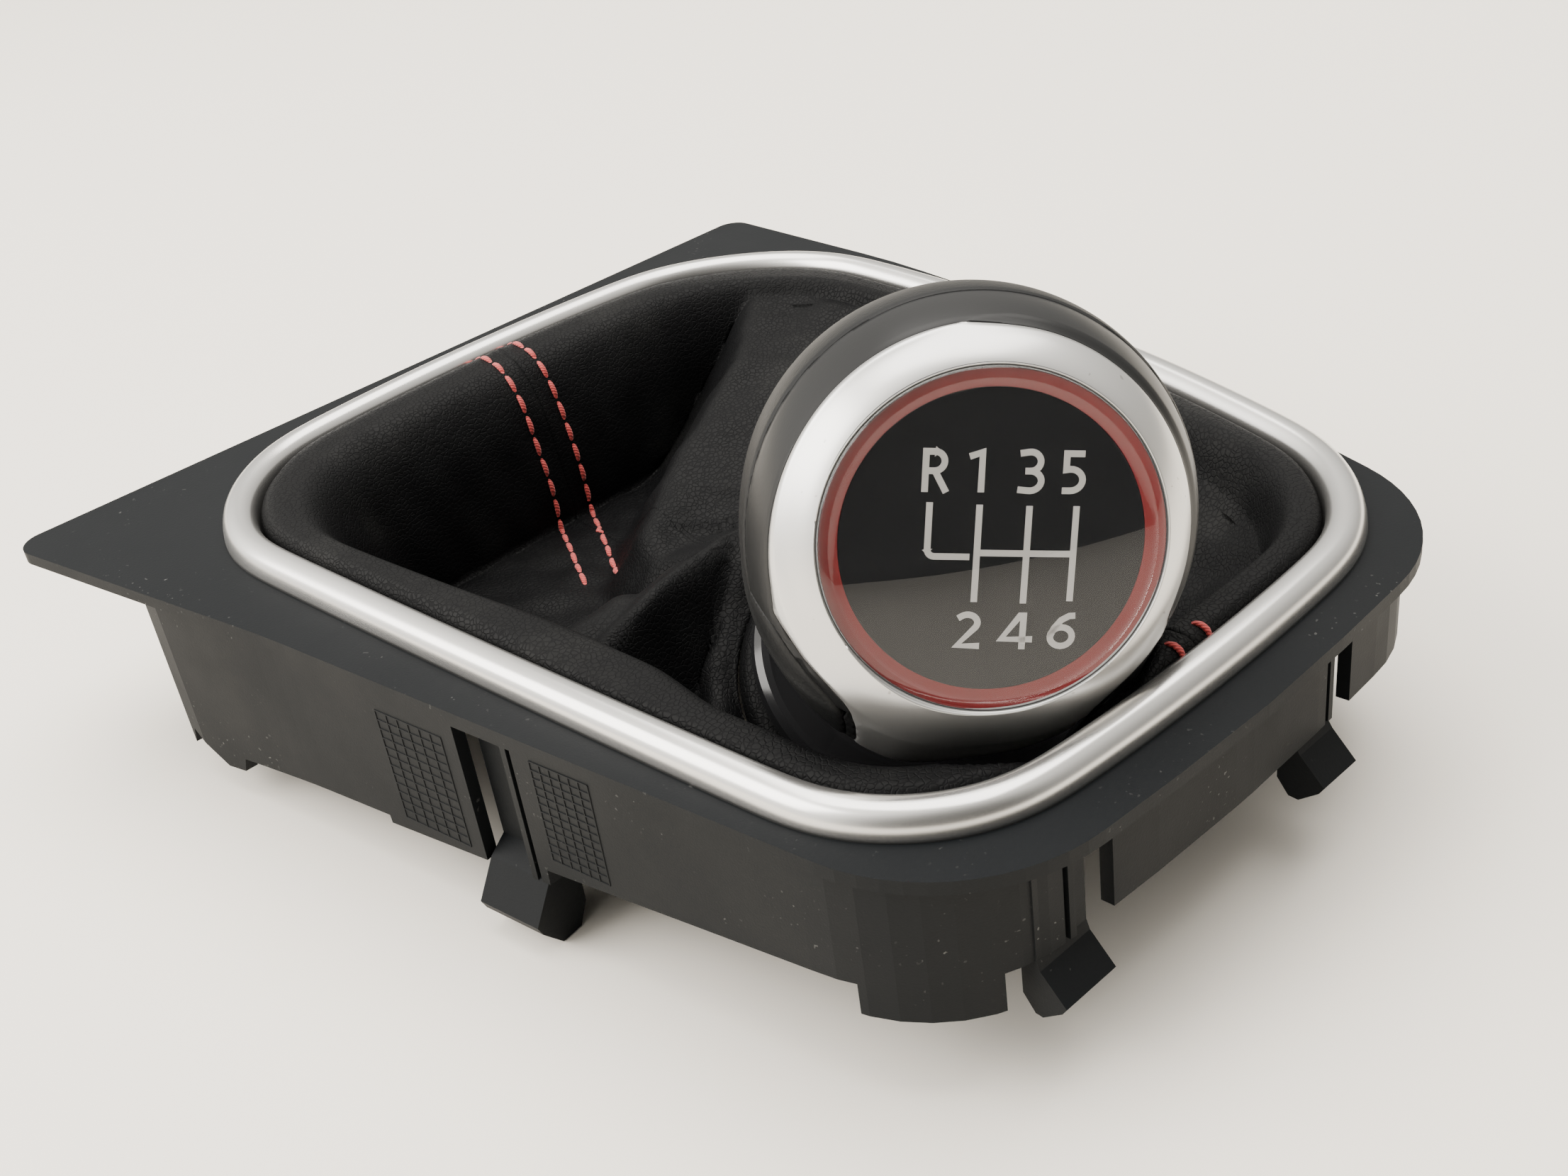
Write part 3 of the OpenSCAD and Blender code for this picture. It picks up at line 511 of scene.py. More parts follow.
# Lens
rise = 1.6
dome = (LENS_R ** 2 + rise ** 2) / (2 * rise)
radii = [LENS_R * t / 40 for t in range(0, 39)]
prof = [(r, rise - 0.1 - dome + math.sqrt(dome ** 2 - r ** 2)) for r in radii]
LENS_BACK = -1.42
prof += [(LENS_R - 0.35, -0.16), (LENS_R - 0.12, -0.27), (LENS_R, -0.45), (LENS_R, -1.2)]
prof += [(LENS_R - 0.15, LENS_BACK)]
prof += [(LENS_R * t / 8, LENS_BACK) for t in range(7, -1, -1)]
seg = 144
round_ = [2 * math.pi * i / seg for i in range(seg)]
verts = [(r * math.cos(a), r * math.sin(a), z) for r, z in prof[1:-1] for a in round_]
faces = grid_faces(len(prof) - 2, seg)
faces = [tuple(reversed(f)) for f in faces]
top_i, low_i = len(verts), len(verts) + 1
verts += [(0, 0, prof[0][1]), (0, 0, LENS_BACK)]
e = (len(prof) - 3) * seg
faces += [(top_i, i, (i + 1) % seg) for i in range(seg)]
faces += [(low_i, e + (i + 1) % seg, e + i) for i in range(seg)]
lens = add("lens_dome", placed(DIAL, verts), faces)
give(lens, M_lens)
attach(lens, "knob")
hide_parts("lens")


# Head of the knob: one smooth skin in three pieces
HALF_ROOT = math.sqrt(0.5)
LOW = 5.8
RIM_Z = -4.9


def to_dial(p_):
    """From the knob's own frame, round the pivot, to the dial's."""
    q = p_ - np.array([0, 0, NECK_L])
    up, out_ = (q[..., 1] + q[..., 2]) * HALF_ROOT, (q[..., 2] - q[..., 1]) * HALF_ROOT - DIAL_H
    return np.stack([q[..., 0], up, out_], -1)


def from_dial(p_):
    """From the dial's own frame to the knob's."""
    z = p_[..., 2] + DIAL_H
    return np.stack([p_[..., 0], (p_[..., 1] - z) * HALF_ROOT, (p_[..., 1] + z) * HALF_ROOT + NECK_L], -1)


def smin(a, b, k):
    """The smaller of two values, with a rounded change from one to the other."""
    h = np.maximum(k - np.abs(a - b), 0) / k
    return np.minimum(a, b) - h * h * k / 4


def solid(p_):
    """Below zero inside the head: ball, neck, chin and the ring round the lens, run into each other."""
    d = to_dial(p_)
    rd = np.hypot(d[..., 0], d[..., 1])
    left = ease((3 - d[..., 0]) / 13)
    ball = np.sqrt(p_[..., 0] ** 2 + p_[..., 1] ** 2 + (p_[..., 2] - NECK_L) ** 2) - BALL_R
    t0, r0 = BALL_R * math.sin(math.radians(22)), BALL_R * math.cos(math.radians(22))
    f_ = np.clip((NECK_L - p_[..., 2] - t0) / (31 - t0), -0.3, 1)
    rn = r0 + (14.6 - r0) * (f_ + (0.35 - 0.35 * left) * f_ * (1 - f_))
    neck = np.hypot(p_[..., 0], p_[..., 1]) - rn
    neck = np.maximum(neck * 0.8, p_[..., 2] - (NECK_L - t0) - 2)
    body = smin(ball, neck, 1.5)
    face = (d[..., 2] + 5.2 - 1.3 * left + (0.86 - 0.31 * left) * (rd - 24.6)) * (0.76 + 0.116 * left)
    body = np.maximum(body, face)
    chin = np.sqrt(d[..., 0] ** 2 + (d[..., 1] + 5.6) ** 2 + (d[..., 2] + 13.8) ** 2) - 24.6 - 1.2 * left
    chin = -smin(-chin, -face, 3.0)
    body = smin(body, chin, 1.2 + 2.6 * left)
    u, v = np.maximum(rd - 18, 0) / 7.0, np.maximum(d[..., 2] + 8.7, 0) / 8.7
    ring = ((u ** 1.9 + v ** 1.9) ** (1 / 1.9) - 1) * 7.0
    ring = -smin(-ring, d[..., 2] + DIAL_H, 5.0)
    k = 0.6 + (2.2 + 1.4 * left) * ease((-10 - d[..., 1]) / 12)
    return smin(body, ring, k)


def root(start, ray, lo, hi):
    """Where rays that start inside the head leave it."""
    lo, hi = np.full(ray.shape[:-1], lo, float), np.full(ray.shape[:-1], hi, float)
    for _ in range(26):
        mid = (lo + hi) / 2
        out_ = solid(start + ray * mid[..., None]) > 0
        hi = np.where(out_, mid, hi)
        lo = np.where(out_, lo, mid)
    return start + ray * ((lo + hi) / 2)[..., None]


AROUND = 288
RING_R, RING_Z = 17.6, -7.7
th = np.linspace(0, 2 * np.pi, AROUND, endpoint=False)
hinge_y = -((DIAL_H + RIM_Z) / HALF_ROOT + (NECK_L - LOW))
reach = math.hypot(-(DIAL_H + RIM_Z) * HALF_ROOT - hinge_y, NECK_L + (DIAL_H + RIM_Z) * HALF_ROOT - LOW)
rings = []
for al in np.radians(np.linspace(0, 45, 170)):
    f_ = al / math.radians(45)
    far = -hinge_y + (reach + hinge_y) * f_
    v_ = np.array([0, math.cos(al), math.sin(al)])
    c = np.array([0, hinge_y, LOW]) + v_ * far
    ray = np.cos(th)[:, None] * np.array([1.0, 0, 0]) + np.sin(th)[:, None] * v_
    rings.append(root(c, ray, 6, min(44, far - 1)))
for ps in np.radians(np.linspace(24, 71, 34)):
    c = from_dial(np.stack([RING_R * np.cos(th), RING_R * np.sin(th), np.full(AROUND, RING_Z)], -1))
    tip_r = RING_R + math.cos(ps)
    tip_z = np.full(AROUND, RING_Z + math.sin(ps))
    tip = from_dial(np.stack([tip_r * np.cos(th), tip_r * np.sin(th), tip_z], -1))
    rings.append(root(c, tip - c, 2, 12))
for r, z in ((20.32, -0.22), (20.17, -0.29), (20.09, -0.42), (20.09, -0.47)):
    rings.append(from_dial(np.stack([r * np.cos(th), r * np.sin(th), np.full(AROUND, z)], -1)))
SKIN = np.array(rings)


def slopes(p_):
    """Unit normals of the head at points."""
    e_ = 0.02
    g = np.stack([solid(p_ + np.eye(3)[k] * e_) - solid(p_ - np.eye(3)[k] * e_) for k in range(3)], -1)
    return g / np.maximum(np.linalg.norm(g, axis=-1), 1e-9)[..., None]


def half_width(y):
    """Half width of the silver front, by height below the dial's middle."""
    down = [0, 8, 15, 18, 20, 22, 24, 26, 28]
    half = [27.5, 25.6, 20.6, 17.6, 15.9, 14.7, 14.0, 13.6, 13.5]
    return np.interp(-y, down, half)


def zone(d, back, wide):
    """Above zero within the front of the head: the ring and the chin below it."""
    slant = (d[..., 1] + 11) * -math.cos(math.radians(42)) + (d[..., 2] + back) * math.sin(math.radians(42))
    a_ = -smin(-(d[..., 2] + back), -slant, 4.0)
    wide = wide * (1 - 0.66 * ease((-2 - d[..., 1]) / 12))
    reach_ = 26.6 - 1.7 * ease((-3 - d[..., 1]) / 9) + wide
    inside = reach_ - np.hypot(d[..., 0], d[..., 1])
    b_ = -smin(-inside, -(half_width(d[..., 1]) + wide - np.abs(d[..., 0])), 1.5)
    b_ = np.where(d[..., 1] > -2, inside, b_)
    return np.minimum(a_, b_)


def clipped(verts_, faces_, value, sign):
    """The part of a mesh where the value is on one side of zero, with its new edge on zero."""
    out_v, out_f, cut = [tuple(v_) for v_ in verts_], [], {}
    side_ = value * sign

    def crossing(a, b):
        key = (a, b) if a < b else (b, a)
        if key not in cut:
            f_ = side_[key[0]] / (side_[key[0]] - side_[key[1]])
            cut[key] = len(out_v)
            out_v.append(tuple(verts_[key[0]] + (verts_[key[1]] - verts_[key[0]]) * f_))
        return cut[key]

    for face in faces_:
        ins = [side_[i] > 0 for i in face]
        if all(ins):
            out_f.append(face)
        elif any(ins):
            poly = []
            for k, i in enumerate(face):
                j = face[(k + 1) % len(face)]
                if side_[i] > 0:
                    poly.append(i)
                if (side_[i] > 0) != (side_[j] > 0):
                    poly.append(crossing(i, j))
            if len(poly) > 2:
                out_f.append(tuple(poly))
    used = sorted({i for f_ in out_f for i in f_})
    new = {i: k for k, i in enumerate(used)}
    return np.array([out_v[i] for i in used]), [tuple(new[i] for i in f_) for f_ in out_f]


def walled(verts_, faces_, depth):
    """Closes every open edge with a short wall that goes in."""
    count = {}
    for f_ in faces_:
        for a, b in zip(f_, f_[1:] + f_[:1]):
            count[(a, b)] = count.get((a, b), 0) + 1
    open_ = [(a, b) for a, b in count if (b, a) not in count]
    ends = sorted({i for e_ in open_ for i in e_})
    nr_ = slopes(verts_[ends])
    low_ = {i: len(verts_) + k for k, i in enumerate(ends)}
    verts_ = np.concatenate([verts_, verts_[ends] - nr_ * depth])
    return verts_, faces_ + [(b, a, low_[a], low_[b]) for a, b in open_]


flat = SKIN.reshape(-1, 3)
tris = [(f_[3], f_[2], f_[1], f_[0]) for f_ in grid_faces(len(SKIN), AROUND)]
DL = to_dial(flat)
g_silver = zone(DL, 4.5, 0.0)
g_band = zone(DL, 12.0, 3.3)
seam_ = np.minimum(np.abs(g_silver), np.abs(g_band))
NRM = slopes(flat)
is_rim = np.zeros(len(flat), bool)
is_rim[-8 * AROUND:] = True
sink_ = 0.22 * np.exp(-(seam_ / 0.32) ** 2)
sink_ += np.where((g_silver < 0) & (g_band > 0), 0.20, 0.0) * ease(seam_ / 0.4)
flat2 = flat - NRM * (sink_ * ~is_rim)[:, None]
SKINS = (
    ("bezel_skin", g_silver - 0.05, 1, M_bezel, "bezel_silver", "bezel"),
    ("rear_shell_skin", g_band + 0.05, -1, M_shell, "shell_grain", "rear_shell"),
    ("side_band_skin", np.minimum(-g_silver - 0.05, g_band - 0.05), 1, M_band, "band_black", "side_band"))
for name, val, sign, mat, slot_, gone in SKINS:
    v, f = clipped(flat2, tris, val, sign)
    v, f = walled(v, f, 0.9)
    ob = add(name, placed(REST, v), f)
    give(ob, mat)
    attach(ob, "knob")
    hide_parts(gone)


# Outlines taken from the frame
def ring_outline(n):
    """The trim ring's outer base line, felt from outside on the CAD ring, evenly resampled."""
    p = []
    for k in range(1440):
        a = 2 * math.pi * k / 1440
        d = Vector((math.cos(a), math.sin(a), 0))
        hit_, loc, _n, _i = CAD["trim_ring"].ray_cast((Vector((8, -1, 2.2)) + d * 140) * MM, -d)
        if hit_:
            p.append((loc.x / MM, loc.y / MM))
    return even(np.array(p), n)


def even(p, n):
    """A closed line resampled to so many even steps."""
    q = np.vstack([p, p[:1]])
    s = np.concatenate([[0], np.cumsum(np.hypot(*np.diff(q, axis=0).T))])
    t = np.linspace(0, s[-1], n, endpoint=False)
    return np.c_[np.interp(t, s, q[:, 0]), np.interp(t, s, q[:, 1])]


def smooth_loop(p, width):
    """Circular smoothing of a closed line by a bell of that width in points."""
    n = len(p)
    k = np.arange(n)
    k = np.minimum(k, n - k)
    w = np.exp(-0.5 * (k / width) ** 2)
    w /= w.sum()
    f = np.fft.fft(p, axis=0) * np.fft.fft(w)[:, None]
    return np.real(np.fft.ifft(f, axis=0))


def inward(p):
    """Unit directions that point into a closed line."""
    t = np.roll(p, -1, axis=0) - np.roll(p, 1, axis=0)
    t /= np.hypot(*t.T)[:, None]
    m_ = np.c_[-t[:, 1], t[:, 0]]
    c = p.mean(0)
    if ((c - p) * m_).sum() < 0:
        m_ = -m_
    return m_


BASE = smooth_loop(ring_outline(960), 6)
BASE = even(BASE, 960)
BASE_IN = inward(BASE)


# Moulded grid patches on the left wall
def wall_x(y, z):
    """Outer face of the frame's left wall, from the frame's own mesh."""
    hit_, loc, nrm_, _ = CAD["console_frame"].ray_cast(Vector((-120 * MM, y * MM, z * MM)), Vector((1, 0, 0)))
    return (loc.x / MM, nrm_) if hit_ else None


def bars(ends, width, height):
    """Thin raised bars lying on the wall, each between two places on it."""
    v, f = [], []
    for (y0, z0), (y1, z1) in ends:
        pts = []
        for k in range(9):
            y, z = y0 + (y1 - y0) * k / 8, z0 + (z1 - z0) * k / 8
            w_ = wall_x(y, z)
            if w_ is None:
                continue
            pts.append((Vector((w_[0], y, z)), Vector(w_[1]).normalized()))
        if len(pts) < 2:
            continue
        b = len(v)
        for i, (p_, n_) in enumerate(pts):
            d_ = (pts[min(i + 1, len(pts) - 1)][0] - pts[max(i - 1, 0)][0]).normalized()
            sd = d_.cross(n_).normalized() * width / 2
            top, foot = n_ * height, n_ * 0.05
            v += [tuple(p_ + sd - foot), tuple(p_ + sd * 0.6 + top)]
            v += [tuple(p_ - sd * 0.6 + top), tuple(p_ - sd - foot)]
        for i in range(len(pts) - 1):
            for a in range(4):
                k, a2 = b + 4 * i, (a + 1) % 4
                f.append((k + a, k + a2, k + 4 + a2, k + 4 + a))
        e = b + 4 * (len(pts) - 1)
        f += [(b + 3, b + 2, b + 1, b), (e, e + 1, e + 2, e + 3)]
    return v, f


lines_ = []
for y0, y1, z0, z1 in ((8.0, -5.0, -3.5, -22.5), (-21.8, -31.8, -1.0, -17.5)):
    for k in range(7):
        y = y0 + (y1 - y0) * k / 6
        lines_.append(((y, z0), (y, z1)))
    for k in range(13):
        z = z0 + (z1 - z0) * k / 12
        lines_.append(((y0, z), (y1, z)))
v, f = bars(lines_, 0.26, 0.11)
if v:
    grid_ob = add("moulded_grids", v, f, False)
    give(grid_ob, M_frame)
    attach(grid_ob, "console")

# Trim ring, finely turned section
outer_rise = [(0.0, 0.02), (0.05, 0.55), (0.14, 1.15), (0.32, 1.85), (0.58, 2.5), (0.95, 3.06), (1.45, 3.5)]
crown = [(2.05, 3.8), (2.7, 3.95), (3.3, 3.99), (3.9, 3.86), (4.45, 3.56)]
inner_fall = [(4.95, 3.08), (5.3, 2.5), (5.52, 1.9), (5.6, 1.2), (5.6, 0.2), (5.6, -1.2), (5.6, -3.9)]
underside = [(5.5, -4.0), (4.7, -4.0), (4.6, -3.9), (4.6, -0.1), (4.5, 0.0), (2.5, 0.0)]
sec = outer_rise + crown + inner_fall + underside
verts = []
for d, z in sec:
    ring = BASE + BASE_IN * d
    verts += [(x, y, 2 + z) for x, y in ring]
cols = len(BASE)
faces = grid_faces(len(sec), cols)
end = (len(sec) - 1) * cols
faces += [(end + i, end + (i + 1) % cols, (i + 1) % cols, i) for i in range(cols)]
trim = add("trim_ring_satin", verts, faces)
give(trim, M_trim)
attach(trim, "console")
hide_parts("trim_ring")

# Leather
RIM_IN, LEATHER_T = 6.6, 1.2
PX, PY, PZ = PIVOT
HOLD_Z, TOP_Z = -2.0, 4.2
POCKET_Z = -24.5


def soft_max(a, b, k):
    """The larger of two values, with a rounded change from one to the other."""
    h = np.maximum(k - np.abs(a - b), 0) / k
    return np.maximum(a, b) + h * h * k / 4


def sector(a, lo, hi, soft):
    """1 between two angles and 0 outside, with a soft step at both ends."""
    mid, half = (lo + hi) / 2, (hi - lo) / 2
    d = np.abs(((a - mid + 540) % 360) - 180)
    return 1 - ease((d - half + soft / 2) / soft)


def in_pocket(a):
    """1 in the deep pocket's directions."""
    return sector(a, 66, 150, 24)


def in_hollow(a):
    """1 in the shallower hollow's directions."""
    return sector(a, 150, 238, 24)


def roll_w(a):
    """Width of the leather's roll inside the trim ring, by direction."""
    return 3 + 3.5 * sector(a, 60, 172, 30) + 2 * sector(a, 40, 60, 20)


def turn_w(a):
    """Width of the bend that goes down from the roll, by direction."""
    return 6 + 5 * in_pocket(a) - sector(a, 240, 320, 30)


def crest(x, y, line, left, right, round_):
    """Height of a fold: its crest follows a line of points, and it falls away on both sides."""
    best = np.full(np.shape(x), 1e9)
    z = np.full(np.shape(x), -99.0)
    for a, b in zip(line[:-1], line[1:]):
        dx, dy = b[0] - a[0], b[1] - a[1]
        f = np.clip(((x - a[0]) * dx + (y - a[1]) * dy) / (dx * dx + dy * dy), 0, 1)
        r = np.hypot(x - a[0] - dx * f, y - a[1] - dy * f)
        side = dx * (y - a[1]) - dy * (x - a[0])
        fall = np.where(side > 0, left, right) * (np.sqrt(r * r + round_ ** 2) - round_)
        h = a[2] + (b[2] - a[2]) * f - fall
        z = np.where(r < best, h, z)
        best = np.minimum(r, best)
    return z


# Crest lines of the four folds, as points x, y, z
FOLD_D = [(56, 57, 2.5), (39, 42.5, -1), (22, 35.5, -5), (9, 30.5, -9), (1, 25.5, -12), (-3, 19, -13.5)]
FOLD_D += [(-1, 9, -11)]
FOLD_H = [(-1, -1.5, -1.5), (-10.5, -4.4, 0.7), (-22.5, -7.0, 0.9), (-33.5, -9.2, -0.9)]
FOLD_P = [(-3, -2.5, -1.5), (-8, -8.7, -2), (-12.5, -13.2, -4), (-17, -17.3, -6), (-21.5, -20.9, -8)]
FOLD_A = [(-24.3, -2, -2.6), (-34.3, 0, -4.5), (-44.3, 3, -1)]


def inner_z(x, y, a, f, h, ez):
    """Height of the leather between the bend and the hole: pocket, hollow, brim and folds."""
    lin = ez + (3.0 - ez) * np.clip(f, 0, 1) ** 0.85 - 2.5 * np.sin(np.pi * f)
    low = lin + (-17 - lin) * in_hollow(a)
    low = low + (POCKET_Z - low) * in_pocket(a)
    brim = ez + 1 - 1.1 * np.maximum(0, h - 3)
    z = soft_max(low, brim, 5)
    z = soft_max(z, crest(x, y, FOLD_D, 0.12, 1.5, 1.5) - 60 * (1 - sector(a, 20, 112, 30)), 3)
    z = soft_max(z, crest(x, y, FOLD_A, 1.5, 0.9, 4), 4)
    z = soft_max(z, crest(x, y, FOLD_H, 2.9, 0.85, 0.5), 1.2)
    z = soft_max(z, crest(x, y, FOLD_P, 1.6, 1.3, 0.8), 1.5)
    return z


def roll_top(a):
    """Height of the roll, by direction."""
    return TOP_Z + 0.8 * in_pocket(a)


BALLS = [(PIVOT + AXIS * NECK_L, BALL_R + 1.6),
         (DIAL @ Vector((0, -5.8, -14)), BALL_R - 2.9 + 1.3)]


def below_head(x, y, z):
    """Keeps heights under the two balls that stand for the head."""
    for c, r in BALLS:
        q = r * r - (x - c.x) ** 2 - (y - c.y) ** 2
        z = np.where(q > 0, np.minimum(z, c.z - np.sqrt(np.maximum(q, 0))), z)
    return z


def away(x, y, z, c, r):
    """Moves points that are inside a ball out to its surface."""
    d = np.sqrt((x - c.x) ** 2 + (y - c.y) ** 2 + (z - c.z) ** 2)
    k = np.where(d < r, r / np.maximum(d, 1e-6), 1.0)
    return c.x + (x - c.x) * k, c.y + (y - c.y) * k, c.z + (z - c.z) * k


# Rays from the rim to the hole round the collar, denser at the two seams
rim = BASE + BASE_IN * RIM_IN
rim_s = np.concatenate([[0], np.cumsum(np.hypot(*np.diff(np.vstack([rim, rim[:1]]), axis=0).T))])
RIM_LENGTH = rim_s[-1]
rim_loop = np.vstack([rim, rim[:1]])


def rim_at(s_):
    """The rim's point at a distance along it."""
    s_ = np.mod(s_, RIM_LENGTH)
    return np.c_[np.interp(s_, rim_s, rim_loop[:, 0]), np.interp(s_, rim_s, rim_loop[:, 1])]


def nearest_s(x, y):
    """Distance along the rim of its point nearest to a place."""
    return rim_s[np.argmin(np.hypot(rim[:, 0] - x, rim[:, 1] - y))]


SEAM_C = nearest_s(7.5, 76)
SEAM_B = nearest_s(8.0, -78)
dense = []
for c in (SEAM_C, SEAM_B):
    dense += [c + k for k in np.arange(-1.6, 1.61, 0.2)]


def from_seam(place, seam):
    """Signed distance along the rim from a seam."""
    return ((place - seam + RIM_LENGTH / 2) % RIM_LENGTH) - RIM_LENGTH / 2


plain = [s_ for s_ in np.arange(0, RIM_LENGTH, RIM_LENGTH / 380)
         if min(abs(from_seam(s_, c)) for c in (SEAM_C, SEAM_B)) > 1.8]
PLACES = np.array(sorted(np.mod(plain + dense, RIM_LENGTH)))
START = rim_at(PLACES)
COLS = len(PLACES)
az = np.degrees(np.arctan2(START[:, 1] - PY, START[:, 0] - PX))
HOLE_R = 26.0
back = math.degrees(math.atan2(0.9311, 0.3649))
rel = np.radians(az - back)
tip_z, tip_h = math.cos(math.radians(LEAN)), -math.sin(math.radians(LEAN)) * np.cos(rel)
# The hole's edge follows the cuff's bowl at one polar angle, and stays below the hump at the back
HOLE_POLAR, HOLE_HIGHEST = 102, 12
el = np.arcsin(math.cos(math.radians(HOLE_POLAR)) / np.hypot(tip_z, tip_h)) - np.arctan2(tip_h, tip_z)
el = np.minimum(el, math.radians(HOLE_HIGHEST))
hole_x = PX + HOLE_R * np.cos(el) * np.cos(np.radians(az))
hole_y = PY + HOLE_R * np.cos(el) * np.sin(np.radians(az))
HOLE = np.c_[hole_x, hole_y, PZ + HOLE_R * np.sin(el)]
span = HOLE[:, :2] - START
ray_l = np.hypot(*span.T)
TOWARDS = span / ray_l[:, None]
w = np.minimum(roll_w(az), ray_l * 0.3)
t = np.minimum(turn_w(az), ray_l * 0.42)
deep = roll_top(az) - POCKET_Z
rows = []
rows.append((START[:, 0], START[:, 1], np.full(COLS, HOLD_Z + 0.8)))
rows.append((START[:, 0], START[:, 1], below_head(START[:, 0], START[:, 1], np.full(COLS, 1.0))))
rows.append((START[:, 0], START[:, 1], below_head(START[:, 0], START[:, 1], np.full(COLS, 2.4))))
for d0, dz in ((0.15, 3.1), (0.5, 3.7), (1.0, 4.0)):
    x, y = (START + TOWARDS * d0).T
    rows.append((x, y, np.maximum(below_head(x, y, np.full(COLS, dz)), HOLD_Z + 1.1)))
for k in range(1, 7):
    d = 1.0 + (w - 1.0) * k / 6
    x, y = (START + TOWARDS * d[:, None]).T
    z = roll_top(az) + 0.25 * np.sin(np.pi * k / 6) * in_pocket(az) - 0.2 * (1 - k / 6)
    rows.append((x, y, np.maximum(below_head(x, y, z), np.where(d < 2.4, HOLD_Z + 1.1, -99))))
INNER = 64
for k in range(1, 19):
    th = np.radians(90 * k / 19)
    d = w + t * np.sin(th)
    x, y = (START + TOWARDS * d[:, None]).T
    z = roll_top(az) - deep * (1 - np.cos(th))
    z = soft_max(z, inner_z(x, y, az, 1 - d / ray_l, ray_l - d, HOLE[:, 2]), 2.5)
    rows.append((x, y, below_head(x, y, z)))
d1 = w + t
for k in range(0, INNER + 1):
    d = d1 + (ray_l - d1) * (k / INNER) ** 0.92
    x, y = (START + TOWARDS * d[:, None]).T
    z = soft_max(roll_top(az) - deep, inner_z(x, y, az, 1 - d / ray_l, ray_l - d, HOLE[:, 2]), 2.5)
    g = np.clip((ray_l - d) / 6, 0, 1)
    z = HOLE[:, 2] + (z - HOLE[:, 2]) * ease(g)
    z = below_head(x, y, z)
    for c, r in ((PIVOT + AXIS * 21, 20.1), (PIVOT + AXIS * 12, 18.1)):
        x, y, z = away(x, y, z, c, r)
    x, y, z = away(x, y, z, PIVOT, HOLE_R)
    rows.append((x, y, z))
SHEET = np.array(rows).transpose(0, 2, 1)
ROWS = len(SHEET)


def normals(g):
    """Unit normals of a grid of points."""
    du = np.roll(g, -1, axis=1) - np.roll(g, 1, axis=1)
    dv = np.empty_like(g)
    dv[1:-1] = g[2:] - g[:-2]
    dv[0], dv[-1] = g[1] - g[0], g[-1] - g[-2]
    n_ = np.cross(du, dv)
    n_ /= np.maximum(np.linalg.norm(n_, axis=2), 1e-9)[..., None]
    return n_


# The leather's own unevenness: soft wrinkles that grow into the slack
rng = np.random.default_rng(7)
waves = [(rng.uniform(0.05, 0.16), rng.uniform(0, 2 * math.pi), rng.uniform(0, 2 * math.pi))
         for _ in range(14)]
wrinkle = np.zeros((ROWS, COLS))
for f_, dr, ph in waves:
    along = SHEET[..., 0] * math.cos(dr) + SHEET[..., 1] * math.sin(dr) + 0.4 * SHEET[..., 2]
    wrinkle += np.sin(2 * math.pi * f_ * along + ph)
wrinkle /= math.sqrt(len(waves))
fade = ease((np.arange(ROWS)[:, None] - 12) / 14.0) * ease((ROWS - 1 - np.arange(ROWS)[:, None]) / 8.0)
ROUGH_N = normals(SHEET)
if ROUGH_N[20, :, 2].mean() < 0:
    ROUGH_N = -ROUGH_N
SHEET = SHEET + ROUGH_N * (wrinkle * 0.28 * fade)[..., None]
# Seams: a fine groove down the middle of each
for c in (SEAM_C, SEAM_B):
    off = from_seam(PLACES, c)
    sink = 0.45 * np.exp(-(off / 0.32) ** 2) - 0.18 * np.exp(-(off / 1.3) ** 2)
    SHEET = SHEET - ROUGH_N * sink[None, :, None]

SHEET_N = normals(SHEET)
if SHEET_N[20, :, 2].mean() < 0:
    SHEET_N = -SHEET_N
out = SHEET + SHEET_N * LEATHER_T / 2
inn = (SHEET - SHEET_N * LEATHER_T / 2)[::-1]
verts = np.concatenate([out.reshape(-1, 3), inn.reshape(-1, 3)])
faces = grid_faces(2 * ROWS, COLS)
end = (2 * ROWS - 1) * COLS
faces += [(end + i, end + (i + 1) % COLS, (i + 1) % COLS, i) for i in range(COLS)]
leather = add("gaiter_leather", verts, faces)
give(leather, M_leather)
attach(leather, "console")
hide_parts("gaiter")

# Cuff: the leather's end, turned over the clamp band, with the round boot that swings in the hole
prof = [(19.95, -4.7), (19.95, -3.2), (20.15, -2.0), (20.9, -1.25), (21.9, -0.98), (23.0, -1.0), (23.9, -1.4)]
prof += [(24.5, -2.1)]
for polar in np.arange(97.5, 142, 2.5):
    bowl_r = 25.05 - 4.9 * ease((polar - 103) / 45)
    prof.append((bowl_r * math.sin(math.radians(polar)), bowl_r * math.cos(math.radians(polar))))
seg = 192


def turned(prof, seg):
    """Points of a profile turned about the Z axis."""
    v = []
    for r, h in prof:
        for i in range(seg):
            a = 2 * math.pi * i / seg
            v.append((r * math.cos(a), r * math.sin(a), h))
    return v


p = np.array(prof)
tn = np.gradient(p, axis=0)
tn /= np.hypot(*tn.T)[:, None]
nr = np.c_[-tn[:, 1], tn[:, 0]]
outer = [tuple(q) for q in p - nr * 0.45]
inner = [tuple(q) for q in (p + nr * 0.45)[::-1]]
verts = turned(outer + inner, seg)
faces = grid_faces(2 * len(prof), seg)
end = (2 * len(prof) - 1) * seg
faces += [(end + i, end + (i + 1) % seg, (i + 1) % seg, i) for i in range(seg)]
cuff = add("gaiter_cuff", placed(REST, verts), faces)
give(cuff, M_leather)
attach(cuff, "collar")


